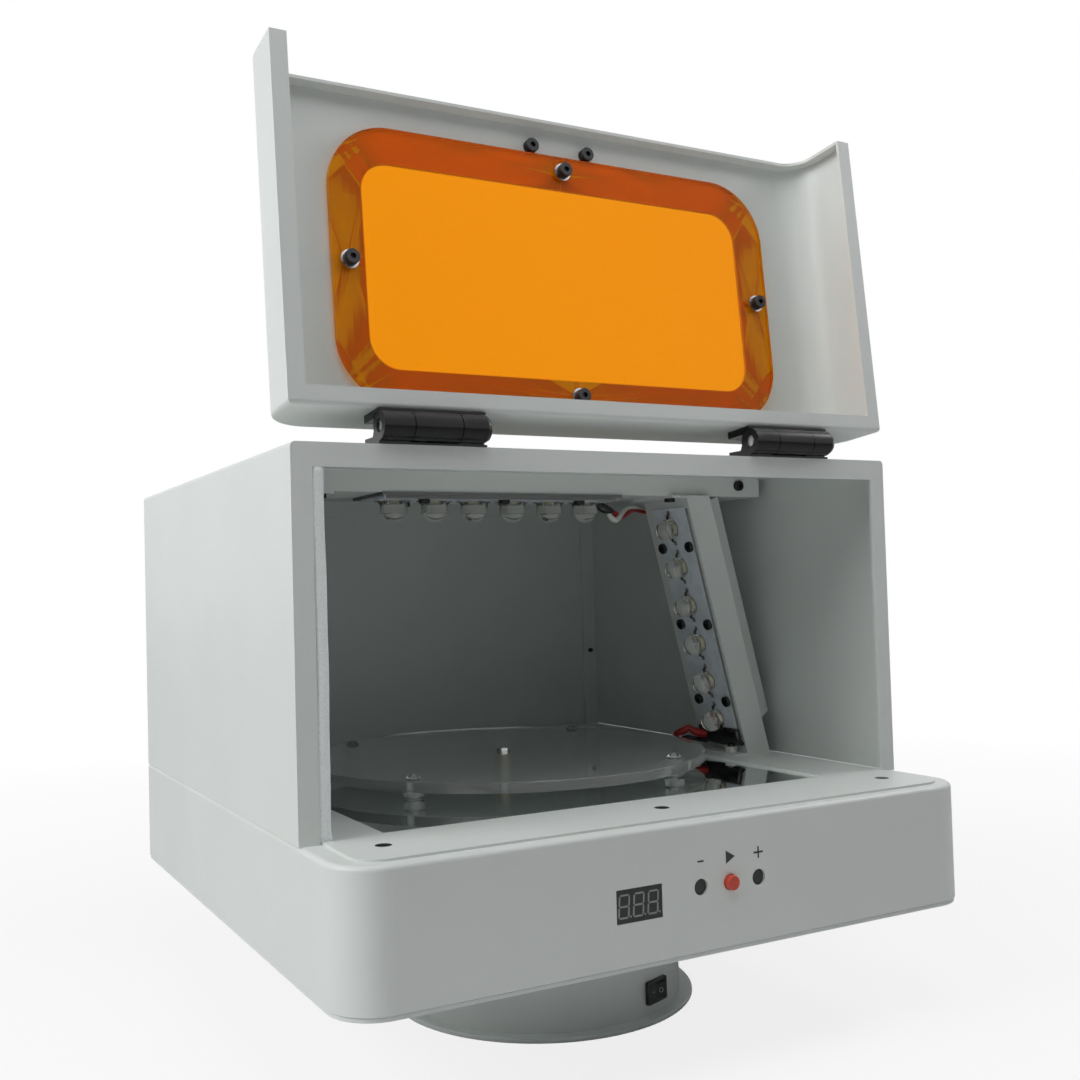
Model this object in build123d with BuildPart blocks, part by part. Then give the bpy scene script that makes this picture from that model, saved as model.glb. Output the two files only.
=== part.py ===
from build123d import *
import os
from math import cos, hypot, radians, sin, tan

os.makedirs("parts", exist_ok=True)

# A bench-top UV curing chamber, in millimetres.
# The origin is the centre of the pedestal's foot, +Z is up and the mouth faces -Y.

# Cabinet and base, sheet metal
cabinet_width = 320.0
cabinet_height = 215.0
chamber_depth = 285.0
base_height = 54.5
apron_depth = 47.7
sheet = 1.5
corner_radius = 20.0
bend_radius = 2.2
jamb_width = 9.0
header_height = 10.0
deck_flange = 15.0
rear_flange = 12.0
bottom_flange = 12.0
bottom_thickness = 2.0
bottom_groove = 0.5
floor_thickness = 1.0
floor_front_margin = 5.7
floor_corner_radius = 12.0
floor_side_gap = 0.5
seal_width = 5.0
seal_thickness = 3.0

# Pedestal
drum_radius = 71.0
drum_wall = 1.5
drum_flange = 11.0
pedestal_height = 52.5
foot_radius = 77.5
foot_thickness = 2.3
mouth_setback = 94.0

# Mirror let in under the floor plate
mirror_left_inset = 37.0
mirror_right_inset = 47.0
mirror_front = 3.0
mirror_length = 250.0
mirror_lap = 6.0
mirror_thickness = 3.0

# Turntable
disc_margin = 3.0
disc_thickness = 5.0
disc_height = 5.3
turntable_depth = 130.0
pad_inset = 12.0
pad_radius = 5.0
pad_head = 3.8
pad_dome = 2.2
pad_turn = -53.8
pad_count = 4
hub_radius = 4.8
shaft_radius = 3.5
shaft_hole = 10.0
glide_gap = 0.3
running_fit = 0.05

# Gear motor under the floor
motor_radius = 25.0
motor_height = 20.0
motor_boss_radius = 7.0
motor_boss_height = 4.0
motor_ear_pitch = 60.0
motor_ear_radius = 4.5
bracket_length = 108.0
bracket_width = 30.0
bracket_foot = 14.0

# Lid hood, measured with the lid shut
lid_depth = 40.7
lid_gap = 0.8
lid_floor_gap = 0.4
lid_side_rim = 7.6
lid_hinge_rim = 8.2
lid_lip = 8.0
lid_open_angle = 185.5
window_width = 215.0
window_foot = 32.8
window_radius = 14.5
window_lap = 16.5
window_head = 28.3
pane_thickness = 3.0
pane_screw_inset = 8.0
handle_pitch = 32.0
handle_rise = 12.2
handle_reach = 20.0
handle_radius = 4.0
handle_bend = 7.0

# Hinges
hinge_length = 50.0
hinge_inset = 63.0
axis_rise = 7.6
knuckle_radius = 6.25
outer_knuckle = 13.8
knuckle_gap = 0.4
knuckle_relief = 0.4
leaf_depth = 16.0
leaf_thickness = 3.5
leaf_gap = 0.4
neck_depth = 7.2
pin_radius = 2.0
pin_head_radius = 2.8
pin_head_length = 1.6
pin_recess = 2.4
cap_thickness = 2.0
leaf_screw_pitch = 32.0
leaf_screw_depth = 10.8

# Ceiling beam and slanted side bar
beam_depth = 42.0
beam_lip = 10.5
beam_sheet = 1.2
beam_setback = 88.0
beam_end_gap = 9.0
tab_length = 50.0
ceiling_board_shift = -15.3
ceiling_board_setback = 16.6
bar_setback = 84.0
bar_depth = 42.0
bar_sheet = 1.2
bar_tilt = 14.26
bar_foot_inset = 26.8
bar_foot_width = 9.5
bar_flange = 15.5
bar_return_out = 11.0
bar_return_back = 7.0
bar_return_start = 17.0
bar_return_end = 6.5
bar_screw_depth = 8.0
side_board_setback = 18.0
board_raise = 1.5
bar_screw_inset = 5.6
spacer_radius = 3.6
spacer_height = 3.2
small_head = 2.0
small_head_height = 1.5

# LED boards
board_inset = 7.6
board_width = 32.0
board_thickness = 1.6
led_count = 6
led_inset = 11.5
lens_radius = 6.5
lens_skirt = 4.6
lens_dome = 6.2
lens_pocket_radius = 3.4
lens_pocket_depth = 2.6
emitter_radius = 2.9
emitter_height = 1.8
board_screw_pitch = 25.2
plate_thickness = 1.5
plate_overhang = 1.5
plate_depth = 41.0
plate_proud = 1.0

# Wires
wire_radius = 0.8
grommet_radius = 4.6
grommet_setback = 142.0
grommet_inset = 34.0

# Front panel
display_x = -32.5
display_height = 24.3
display_width = 22.5
display_tall = 13.8
button_x = 14.0
button_pitch = 15.4
button_height = 26.8
button_hole_radius = 3.5
button_gap = 0.3
button_travel = 0.5
start_button_stand = 2.6
side_button_recess = 0.9
board_gap = 9.0
control_board_width = 96.0
control_board_tall = 34.0
switch_side = 6.0
switch_body = 3.6

# Rocker switch and supply inlet on the pedestal
rocker_angle = -68.9
rocker_height = 12.8
rocker_bezel_width = 16.0
rocker_bezel_tall = 11.0
rocker_bezel_thickness = 1.5
rocker_body_width = 13.4
rocker_body_tall = 8.8
rocker_body_depth = 12.0
rocker_wall = 0.5
rocker_key_width = 10.2
rocker_key_tall = 7.2
rocker_throw = 22.0
rocker_pivot_depth = 2.0
inlet_height = 14.0
inlet_body_radius = 5.5
inlet_flange_radius = 7.0
inlet_bore_radius = 2.8
inlet_depth = 12.0

# Fasteners
m4_shank = 1.9
m4_hole = 2.1
m4_head = 3.5
m4_head_height = 4.0
m4_hex = 1.5
m3_shank = 1.4
m3_hole = 1.6
m3_head = 3.0
m3_head_height = 2.0
flat_head = 3.4
flat_head_height = 1.6
floor_screw_inset = 28.0
floor_screw_setback = 19.0
washer_radius = 4.4
washer_thickness = 0.8
touch = 0.02

# Levels and planes worked out from the sizes above
z_seam = pedestal_height + bottom_thickness
z_deck = z_seam + base_height
z_roof = z_seam + cabinet_height
z_floor = z_deck + floor_thickness
y_mouth = -mouth_setback
y_front = y_mouth - apron_depth
y_back = y_mouth + chamber_depth
half_width = cabinet_width / 2
z_beam = z_roof - sheet - beam_lip
y_table = y_mouth + turntable_depth
z_disc = z_deck + disc_height
z_disc_top = z_disc + disc_thickness
y_axis = y_mouth - lid_gap / 2
z_axis = z_roof + axis_rise
y_beam = y_mouth + beam_setback
y_bar = y_mouth + bar_setback
mirror_left = half_width - mirror_left_inset
mirror_right = half_width - mirror_right_inset
disc_radius = mirror_right - disc_margin
pad_circle = disc_radius - pad_inset
hinge_offset = half_width - hinge_inset
floor_screw_x = half_width - floor_screw_inset
grommet_x = half_width - grommet_inset
bar_foot_x = half_width - bar_foot_inset
tilt = radians(bar_tilt)
bar_rise = z_beam - z_floor
bar_length = bar_rise / cos(tilt)
bar_top_x = bar_foot_x - bar_rise * tan(tilt)
board_length = bar_length - 2 * board_inset
led_pitch = (board_length - 2 * led_inset) / (led_count - 1)
plate_length = board_length + 2 * plate_overhang


def save(piece, label):
    """Label a finished piece and write it as one STEP file."""
    piece.part.label = label
    export_step(piece.part, f"parts/{label}.step")


def rounded_front(half, front, back, radius):
    """A rectangle seen from above whose two front corners are rounded."""
    with Locations((0, (front + back) / 2)):
        outline = Rectangle(2 * half, back - front)
    fillet(outline.vertices().group_by(Axis.Y)[0], radius)


# Screw places that the shell shares with the plates on it
plate_screw_x = half_width - bottom_flange / 2
plate_screw_seats = [
    (side * plate_screw_x, y)
    for side in (-1, 1)
    for y in (y_front + 2 * corner_radius, (y_front + y_back) / 2, y_back - 2 * corner_radius)
]
rear_screw_x = half_width - (rear_flange + sheet) / 2
rear_screw_seats = [
    (side * rear_screw_x, z)
    for side in (-1, 1)
    for z in (z_seam + rear_flange, (z_seam + z_roof) / 2, z_roof - rear_flange)
]

# Cabinet shell: walls, roof, jambs, header, apron and deck in one welded sheet body
with BuildPart() as cabinet_shell:
    with BuildSketch(Plane.XY.offset(z_seam)):
        rounded_front(half_width, y_front, y_back, corner_radius)
    extrude(amount=base_height)
    fillet(cabinet_shell.edges().group_by(Axis.Z)[-1].filter_by_position(
        Axis.Y, y_front - 1, y_back - 1), bend_radius)
    with BuildSketch(Plane.XY.offset(z_deck)):
        with Locations((0, (y_mouth + y_back) / 2)):
            Rectangle(cabinet_width, chamber_depth)
    extrude(amount=z_roof - z_deck)
    fillet(cabinet_shell.edges().filter_by(Axis.Y).group_by(Axis.Z)[-1], bend_radius)
    with BuildSketch(Plane.XY.offset(z_seam + sheet)):
        rounded_front(half_width - sheet, y_front + sheet, y_back - 2 * sheet, corner_radius - sheet)
    extrude(amount=base_height - 2 * sheet, mode=Mode.SUBTRACT)
    with BuildSketch(Plane.XY.offset(z_seam)):
        rounded_front(half_width - bottom_flange, y_front + bottom_flange, y_back - bottom_flange,
                      corner_radius - bottom_flange / 2)
    extrude(amount=sheet, mode=Mode.SUBTRACT)
    with BuildSketch(Plane.XY.offset(z_deck - sheet)):
        rounded_front(half_width - deck_flange, y_front + deck_flange, y_back - 2 * sheet,
                      corner_radius - deck_flange / 2)
    extrude(amount=sheet, mode=Mode.SUBTRACT)
    with BuildSketch(Plane.XY.offset(z_deck)):
        with Locations((0, (y_mouth + y_back - sheet) / 2)):
            Rectangle(cabinet_width - 2 * sheet, chamber_depth - 3 * sheet)
    extrude(amount=z_roof - z_deck - sheet, mode=Mode.SUBTRACT)
    with BuildSketch(Plane.XZ.offset(-y_mouth - sheet)):
        with Locations((0, (z_deck + z_roof - header_height) / 2)):
            Rectangle(cabinet_width - 2 * jamb_width, z_roof - header_height - z_deck)
    extrude(amount=sheet, mode=Mode.SUBTRACT)
    with BuildSketch(Plane.XZ.offset(-y_back)):
        with Locations((0, (z_seam + z_roof) / 2)):
            Rectangle(cabinet_width - 2 * rear_flange, cabinet_height - 2 * rear_flange)
    extrude(amount=2 * sheet, mode=Mode.SUBTRACT)
    with BuildSketch(Plane.XZ.offset(-y_back)):
        with Locations((0, (z_seam + z_roof) / 2)):
            Rectangle(cabinet_width - 2 * sheet, cabinet_height - 2 * sheet)
    extrude(amount=sheet, mode=Mode.SUBTRACT)
    with BuildSketch(Plane.XZ.offset(-y_front)):
        with Locations((display_x, z_seam + display_height)):
            Rectangle(display_width, display_tall)
        with Locations((button_x, z_seam + button_height)):
            with GridLocations(button_pitch, 0, 3, 1):
                Circle(button_hole_radius)
    extrude(amount=-sheet, mode=Mode.SUBTRACT)
    with BuildSketch(Plane.XY.offset(z_deck)):
        with Locations((0, y_mouth - floor_screw_setback)):
            with GridLocations(floor_screw_x, 0, 3, 1):
                Circle(m3_hole)
    extrude(amount=-sheet, mode=Mode.SUBTRACT)
    with BuildSketch(Plane.XY.offset(z_roof)):
        for side in (-1, 1):
            with Locations((side * hinge_offset, y_axis + leaf_screw_depth)):
                with GridLocations(leaf_screw_pitch, 0, 2, 1):
                    Circle(m4_hole)
    extrude(amount=-sheet, mode=Mode.SUBTRACT)
    with BuildSketch(Plane.XY.offset(z_seam)):
        with Locations(*plate_screw_seats):
            Circle(m3_hole)
    extrude(amount=sheet, mode=Mode.SUBTRACT)
    with BuildSketch(Plane.XZ.offset(-y_back)):
        with Locations(*rear_screw_seats):
            Circle(m3_hole)
    extrude(amount=2 * sheet, mode=Mode.SUBTRACT)
save(cabinet_shell, "cabinet_shell")


# Fasteners, each drawn with its seat at the origin and its shank along -Z
def cap_screw(head, head_height, shank, length, hexagon):
    """A socket cap screw."""
    with BuildPart() as screw:
        Cylinder(head, head_height, align=(Align.CENTER, Align.CENTER, Align.MIN))
        Cylinder(shank, length, align=(Align.CENTER, Align.CENTER, Align.MAX))
        with BuildSketch(Plane.XY.offset(head_height)):
            RegularPolygon(hexagon, 6)
        extrude(amount=-head_height / 2, mode=Mode.SUBTRACT)
        chamfer(screw.faces().sort_by(Axis.Z)[-1].outer_wire().edges(), head / 10)
    return screw


def flat_screw(head, head_height, shank, length):
    """A countersunk screw whose head is flush at the origin."""
    with BuildPart() as screw:
        with BuildSketch(Plane.XZ):
            with BuildLine():
                Polyline((0, 0), (head, 0), (shank, -head_height), (shank, -length), (0, -length), close=True)
            make_face()
        revolve(axis=Axis.Z)
    return screw


def place(screw, seats):
    """Copies of one screw at each of the given seats."""
    with BuildPart() as group:
        with Locations(*seats):
            add(screw.part)
    return group


def down(x, y, z):
    """A seat that a screw enters from above."""
    return Plane(origin=(x, y, z), x_dir=(1, 0, 0), z_dir=(0, 0, 1))


def up(x, y, z):
    """A seat that a screw enters from below."""
    return Plane(origin=(x, y, z), x_dir=(1, 0, 0), z_dir=(0, 0, -1))


# Bottom plate and its screws
drum_screw_radius = drum_radius - drum_flange / 2 - drum_wall
with BuildPart() as bottom_plate:
    with BuildSketch(Plane.XY.offset(z_seam - bottom_thickness)):
        rounded_front(half_width - bottom_groove, y_front + bottom_groove, y_back - bottom_groove,
                      corner_radius - bottom_groove)
    extrude(amount=bottom_thickness)
    chamfer(bottom_plate.edges().group_by(Axis.Z)[-1], bottom_groove)
    with BuildSketch(Plane.XY.offset(z_seam)):
        with Locations(*plate_screw_seats):
            Circle(m3_hole)
        with PolarLocations(drum_screw_radius, 4, 45):
            Circle(m4_hole)
        Circle(drum_radius / 4)
    extrude(amount=-bottom_thickness, mode=Mode.SUBTRACT)
save(bottom_plate, "bottom_plate")

pan_screw = cap_screw(m3_head, m3_head_height, m3_shank, bottom_thickness + 2 * sheet, m3_shank)
bottom_plate_screws = place(pan_screw, [up(x, y, z_seam - bottom_thickness) for x, y in plate_screw_seats])
save(bottom_plate_screws, "bottom_plate_screws")

# Rear panel, flush in the back of the shell, with vents for the base only
rear_gap = 0.4
rear_width = cabinet_width - 2 * sheet - 2 * rear_gap
rear_tall = cabinet_height - 2 * sheet - 2 * rear_gap
vent_count = 12
vent_pitch = 12.0
vent_width = 3.2
vent_length = 26.0
with BuildPart() as rear_panel:
    with BuildSketch(Plane.XZ.offset(-y_back)):
        with Locations((0, (z_seam + z_roof) / 2)):
            Rectangle(rear_width, rear_tall)
        with Locations(*rear_screw_seats):
            Circle(m3_hole, mode=Mode.SUBTRACT)
        with Locations((0, (z_seam + z_deck) / 2)):
            with GridLocations(vent_pitch, 0, vent_count, 1):
                SlotOverall(vent_length, vent_width, rotation=90, mode=Mode.SUBTRACT)
    extrude(amount=sheet)
save(rear_panel, "rear_panel")

rear_screw = cap_screw(m3_head, m3_head_height, m3_shank, 3 * sheet, m3_shank)
rear_panel_screws = place(
    rear_screw,
    [Plane(origin=(x, y_back, z), x_dir=(1, 0, 0), z_dir=(0, 1, 0)) for x, z in rear_screw_seats])
save(rear_panel_screws, "rear_panel_screws")

# Floor plate of the chamber, lying on the deck and reaching out over the base
floor_front = y_front + floor_front_margin
floor_back = y_back - 2 * sheet - floor_side_gap
floor_half = half_width - jamb_width - floor_side_gap
mirror_x = (mirror_right - mirror_left) / 2
mirror_y = y_mouth + mirror_front + mirror_length / 2
mirror_width = mirror_left + mirror_right
y_grommet = y_mouth + grommet_setback
with BuildPart() as floor_plate:
    with BuildSketch(Plane.XY.offset(z_deck)):
        rounded_front(floor_half, floor_front, floor_back, floor_corner_radius)
        with Locations((mirror_x, mirror_y)):
            Rectangle(mirror_width, mirror_length, mode=Mode.SUBTRACT)
        with Locations((grommet_x, y_grommet)):
            Circle(grommet_radius - 1, mode=Mode.SUBTRACT)
    extrude(amount=floor_thickness)
    with Locations((0, y_mouth - floor_screw_setback, z_floor)):
        with GridLocations(floor_screw_x, 0, 3, 1):
            CounterSinkHole(m3_hole, flat_head + touch)
save(floor_plate, "floor_plate")

floor_screw = flat_screw(flat_head, flat_head_height, m3_shank, 3 * sheet)
floor_plate_screws = place(
    floor_screw, [down(i * floor_screw_x, y_mouth - floor_screw_setback, z_floor) for i in (-1, 0, 1)])
save(floor_plate_screws, "floor_plate_screws")

# Mirror, glued under the floor plate so that the plate's cut-out frames it
with BuildPart() as floor_mirror:
    with BuildSketch(Plane.XY.offset(z_deck - mirror_thickness)):
        with Locations((mirror_x, mirror_y)):
            Rectangle(mirror_width + 2 * mirror_lap, mirror_length + 2 * mirror_lap)
        with Locations((0, y_table)):
            Circle(shaft_hole, mode=Mode.SUBTRACT)
    extrude(amount=mirror_thickness)
save(floor_mirror, "floor_mirror")

# Foam seal stuck to the left jamb's inner edge
seal_height = z_roof - header_height - z_floor
with BuildPart() as jamb_seal:
    with BuildSketch(Plane.XY.offset(z_floor)):
        with Locations((jamb_width - half_width + seal_thickness / 2, y_mouth + seal_width / 2)):
            RectangleRounded(seal_thickness, seal_width, seal_thickness / 4)
    extrude(amount=seal_height)
save(jamb_seal, "jamb_seal")

# Pedestal: a rolled drum with a top flange, standing on a round foot plate
rocker_rad = radians(rocker_angle)
rocker_out = Vector(cos(rocker_rad), sin(rocker_rad), 0)
rocker_seat = drum_radius + touch
rocker_plane = Plane(
    origin=rocker_out * rocker_seat + Vector(0, 0, rocker_height),
    x_dir=(-sin(rocker_rad), cos(rocker_rad), 0), z_dir=rocker_out)
inlet_plane = Plane(origin=(0, drum_radius, inlet_height), x_dir=(1, 0, 0), z_dir=(0, 1, 0))
with BuildPart() as pedestal_drum:
    with BuildSketch(Plane.XY.offset(foot_thickness)):
        Circle(drum_radius)
        Circle(drum_radius - drum_wall, mode=Mode.SUBTRACT)
    extrude(amount=pedestal_height - foot_thickness)
    with BuildSketch(Plane.XY.offset(pedestal_height - drum_wall)):
        Circle(drum_radius)
        Circle(drum_radius - drum_flange, mode=Mode.SUBTRACT)
        with PolarLocations(drum_screw_radius, 4, 45):
            Circle(m4_hole, mode=Mode.SUBTRACT)
    extrude(amount=drum_wall)
    with BuildSketch(Plane.XY.offset(foot_thickness)):
        Circle(drum_radius)
        Circle(drum_radius - drum_flange, mode=Mode.SUBTRACT)
        with PolarLocations(drum_screw_radius, 4, 45):
            Circle(m4_hole, mode=Mode.SUBTRACT)
    extrude(amount=drum_wall)
    with BuildSketch(rocker_plane):
        Rectangle(rocker_body_width, rocker_body_tall)
    extrude(amount=-2 * drum_wall - drum_radius / 20, mode=Mode.SUBTRACT)
    with BuildSketch(inlet_plane):
        Circle(inlet_body_radius)
    extrude(amount=-2 * drum_wall, mode=Mode.SUBTRACT)
save(pedestal_drum, "pedestal_drum")

with BuildPart() as pedestal_flange:
    with BuildSketch():
        Circle(foot_radius)
        with PolarLocations(drum_screw_radius, 4, 45):
            Circle(m4_hole, mode=Mode.SUBTRACT)
    extrude(amount=foot_thickness)
    fillet(pedestal_flange.edges().filter_by(GeomType.CIRCLE).sort_by(SortBy.RADIUS)[-2:],
           foot_thickness / 3)
    with BuildSketch():
        with PolarLocations(drum_screw_radius, 4, 45):
            Circle(flat_head + touch)
    extrude(amount=flat_head_height, taper=45, mode=Mode.SUBTRACT)
save(pedestal_flange, "pedestal_flange")

drum_seats = [
    (drum_screw_radius * cos(radians(45 + 90 * i)), drum_screw_radius * sin(radians(45 + 90 * i)))
    for i in range(4)
]
drum_top_screw = cap_screw(m4_head, m4_head_height, m4_shank, bottom_thickness + 2 * drum_wall, m4_hex)
foot_screw = flat_screw(flat_head, flat_head_height, m3_shank, foot_thickness + 2 * drum_wall)
with BuildPart() as pedestal_screws:
    with Locations(*[down(x, y, z_seam) for x, y in drum_seats]):
        add(drum_top_screw.part)
    with Locations(*[up(x, y, 0) for x, y in drum_seats]):
        add(foot_screw.part)
save(pedestal_screws, "pedestal_screws")

# Rocker switch: housing clipped into the drum, key turning about an upright pivot
rocker_body = (rocker_body_width - 2 * running_fit, rocker_body_tall - 2 * running_fit)
with BuildPart() as rocker_housing:
    with BuildSketch(rocker_plane):
        RectangleRounded(rocker_bezel_width, rocker_bezel_tall, rocker_bezel_tall / 10)
    extrude(amount=rocker_bezel_thickness)
    with BuildSketch(rocker_plane):
        Rectangle(*rocker_body)
    extrude(amount=-rocker_body_depth)
    with BuildSketch(rocker_plane.offset(rocker_bezel_thickness)):
        Rectangle(rocker_body[0] - 2 * rocker_wall, rocker_body[1] - 2 * rocker_wall)
    extrude(amount=-rocker_body_depth, mode=Mode.SUBTRACT)
save(rocker_housing, "rocker_housing")

half_throw = radians(rocker_throw / 2)
key_half = rocker_key_width / 2
key_crown = rocker_pivot_depth + rocker_bezel_thickness
key_plane = Plane(
    origin=rocker_plane.origin - rocker_out * rocker_pivot_depth,
    x_dir=(cos(rocker_rad - half_throw), sin(rocker_rad - half_throw), 0), z_dir=(0, 0, 1))
with BuildPart() as rocker_key:
    with BuildSketch(key_plane.offset(-rocker_key_tall / 2)):
        with BuildLine():
            Polyline(
                (key_crown, 0),
                (key_crown + key_half * tan(half_throw), key_half),
                (-key_crown / 2, key_half * 0.7),
                (-key_crown, 0),
                (-key_crown / 2, -key_half * 0.7),
                (key_crown + key_half * tan(half_throw), -key_half),
                close=True)
        make_face()
    extrude(amount=rocker_key_tall)
save(rocker_key, "rocker_key")

# Supply inlet, a round barrel socket through the back of the drum
with BuildPart() as dc_inlet:
    with BuildSketch(inlet_plane.offset(touch)):
        Circle(inlet_flange_radius)
    extrude(amount=sheet)
    with BuildSketch(inlet_plane.offset(touch)):
        Circle(inlet_body_radius - running_fit)
    extrude(amount=-inlet_depth)
    with BuildSketch(inlet_plane.offset(sheet + touch)):
        Circle(inlet_bore_radius)
    extrude(amount=-inlet_depth + sheet, mode=Mode.SUBTRACT)
save(dc_inlet, "dc_inlet")

# Turntable: clear disc on a hub, with four clear glide studs just above the mirror
pad_places = [
    (pad_circle * cos(radians(pad_turn + i * 360 / pad_count)),
     y_table + pad_circle * sin(radians(pad_turn + i * 360 / pad_count)))
    for i in range(pad_count)
]
with BuildPart() as turntable_disc:
    with BuildSketch(Plane.XY.offset(z_disc)):
        with Locations((0, y_table)):
            Circle(disc_radius)
        with Locations((0, y_table), *pad_places):
            Circle(m4_hole, mode=Mode.SUBTRACT)
    extrude(amount=disc_thickness)
    chamfer(
        turntable_disc.edges().filter_by(GeomType.CIRCLE).sort_by(SortBy.RADIUS)[-2:], disc_thickness / 16)
save(turntable_disc, "turntable_disc")

hub_bottom = z_deck - mirror_thickness
with BuildPart() as turntable_hub:
    with BuildSketch(Plane.XY.offset(hub_bottom)):
        with Locations((0, y_table)):
            Circle(hub_radius)
            Circle(shaft_radius, mode=Mode.SUBTRACT)
    extrude(amount=z_disc - disc_thickness / 4 - hub_bottom)
    with BuildSketch(Plane.XY.offset(z_disc - disc_thickness / 4)):
        with Locations((0, y_table)):
            Circle(hub_radius)
            Circle(m4_hole, mode=Mode.SUBTRACT)
    extrude(amount=disc_thickness / 4)
save(turntable_hub, "turntable_hub")

# Each stud has a foot under the disc, a shank through it and a domed head on top
foot_depth = z_disc - z_deck - glide_gap
head_base = disc_thickness + touch
dome_curve = (pad_head**2 + pad_dome**2) / (2 * pad_dome)
with BuildPart() as pad_stud:
    with BuildSketch(Plane.XZ):
        with BuildLine():
            Polyline(
                (0, head_base + pad_dome), (0, -foot_depth), (pad_radius * 0.9, -foot_depth),
                (pad_radius, -foot_depth * 0.9), (pad_radius, 0), (m4_shank, 0),
                (m4_shank, head_base), (pad_head, head_base))
            RadiusArc((pad_head, head_base), (0, head_base + pad_dome), -dome_curve)
        make_face()
    revolve(axis=Axis.Z)
turntable_pads = place(pad_stud, [down(x, y, z_disc) for x, y in pad_places])
save(turntable_pads, "turntable_pads")

motor_top = z_deck - mirror_thickness - bottom_thickness - motor_boss_height
motor_base = motor_top - motor_height
shaft_bottom = motor_top - motor_height / 2
with BuildPart() as turntable_shaft:
    with BuildSketch(Plane.XY.offset(shaft_bottom)):
        with Locations((0, y_table)):
            Circle(shaft_radius)
    extrude(amount=z_disc - disc_thickness / 4 - shaft_bottom)
    with BuildSketch(Plane.XY.offset(z_disc - disc_thickness / 4)):
        with Locations((0, y_table)):
            Circle(m4_hole)
    extrude(amount=-disc_thickness, mode=Mode.SUBTRACT)
save(turntable_shaft, "turntable_shaft")

disc_screw = cap_screw(m4_head, m4_head_height / 2, m4_shank, disc_thickness + 3, m4_hex)
turntable_screw = place(disc_screw, [down(0, y_table, z_disc_top)])
save(turntable_screw, "turntable_screw")

# Gear motor hung from a bridge bracket that stands on the bottom plate
ear_seats = [(side * motor_ear_pitch / 2, y_table) for side in (-1, 1)]
with BuildPart() as gear_motor:
    with BuildSketch(Plane.XY.offset(motor_base)):
        with Locations((0, y_table)):
            Circle(motor_radius)
    extrude(amount=motor_height)
    with BuildSketch(Plane.XY.offset(motor_top - sheet)):
        with Locations((0, y_table)):
            Rectangle(motor_ear_pitch, 2 * motor_ear_radius)
        with Locations(*ear_seats):
            Circle(motor_ear_radius)
            Circle(m3_hole, mode=Mode.SUBTRACT)
    extrude(amount=sheet)
    with BuildSketch(Plane.XY.offset(motor_top)):
        with Locations((0, y_table)):
            Circle(motor_boss_radius)
    extrude(amount=motor_boss_height)
    with BuildSketch(Plane.XY.offset(motor_top + motor_boss_height)):
        with Locations((0, y_table)):
            Circle(shaft_radius + running_fit)
    extrude(amount=-motor_boss_height - motor_height / 2 - sheet, mode=Mode.SUBTRACT)
save(gear_motor, "gear_motor")

with BuildPart() as motor_bracket:
    with BuildSketch(Plane.XZ.offset(-y_table - bracket_width / 2)):
        with BuildLine():
            Polyline(
                (bracket_length / 2 + bracket_foot, z_seam + sheet / 2),
                (bracket_length / 2, z_seam + sheet / 2),
                (bracket_length / 2, motor_top + sheet / 2),
                (-bracket_length / 2, motor_top + sheet / 2),
                (-bracket_length / 2, z_seam + sheet / 2),
                (-bracket_length / 2 - bracket_foot, z_seam + sheet / 2))
            offset(amount=sheet / 2)
        make_face()
    extrude(amount=bracket_width)
    with BuildSketch(Plane.XY.offset(motor_top + sheet)):
        with Locations((0, y_table)):
            Circle(motor_boss_radius + running_fit)
        with Locations(*ear_seats):
            Circle(m3_hole)
    extrude(amount=-sheet, mode=Mode.SUBTRACT)
save(motor_bracket, "motor_bracket")

motor_screw = cap_screw(m3_head, m3_head_height / 2, m3_shank, 3 * sheet, m3_shank)
motor_screws = place(motor_screw, [down(x, y, motor_top + sheet) for x, y in ear_seats])
save(motor_screws, "motor_screws")

# Ceiling beam: an inverted channel under the roof, with a tab at its left end
beam_half = half_width - beam_end_gap
z_tab = z_beam - beam_sheet
frame_screw_y = y_bar + bar_screw_depth
tab_screw_x = tab_length - half_width - bar_screw_inset
beam_screw_x = beam_half - bar_flange
beam_screw_z = z_beam + beam_lip * 0.6

# Both LED boards are one design, drawn on the face that carries them
bar_out = Vector(cos(tilt), 0, sin(tilt))
bar_up = Vector(-sin(tilt), 0, cos(tilt))
ceiling_face = Plane(
    origin=(ceiling_board_shift, y_beam + ceiling_board_setback, z_beam - plate_thickness),
    x_dir=(-1, 0, 0), z_dir=(0, 0, -1))
side_face = Plane(
    origin=Vector(bar_foot_x, y_bar + side_board_setback, z_floor) + bar_up * (bar_length / 2 + board_raise),
    x_dir=bar_up, z_dir=bar_out * -1)
led_faces = (ceiling_face, side_face)
board_screw_places = [(led_pitch * i, side * board_screw_pitch / 2) for i in (-2, 0, 2) for side in (-1, 1)]

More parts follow.
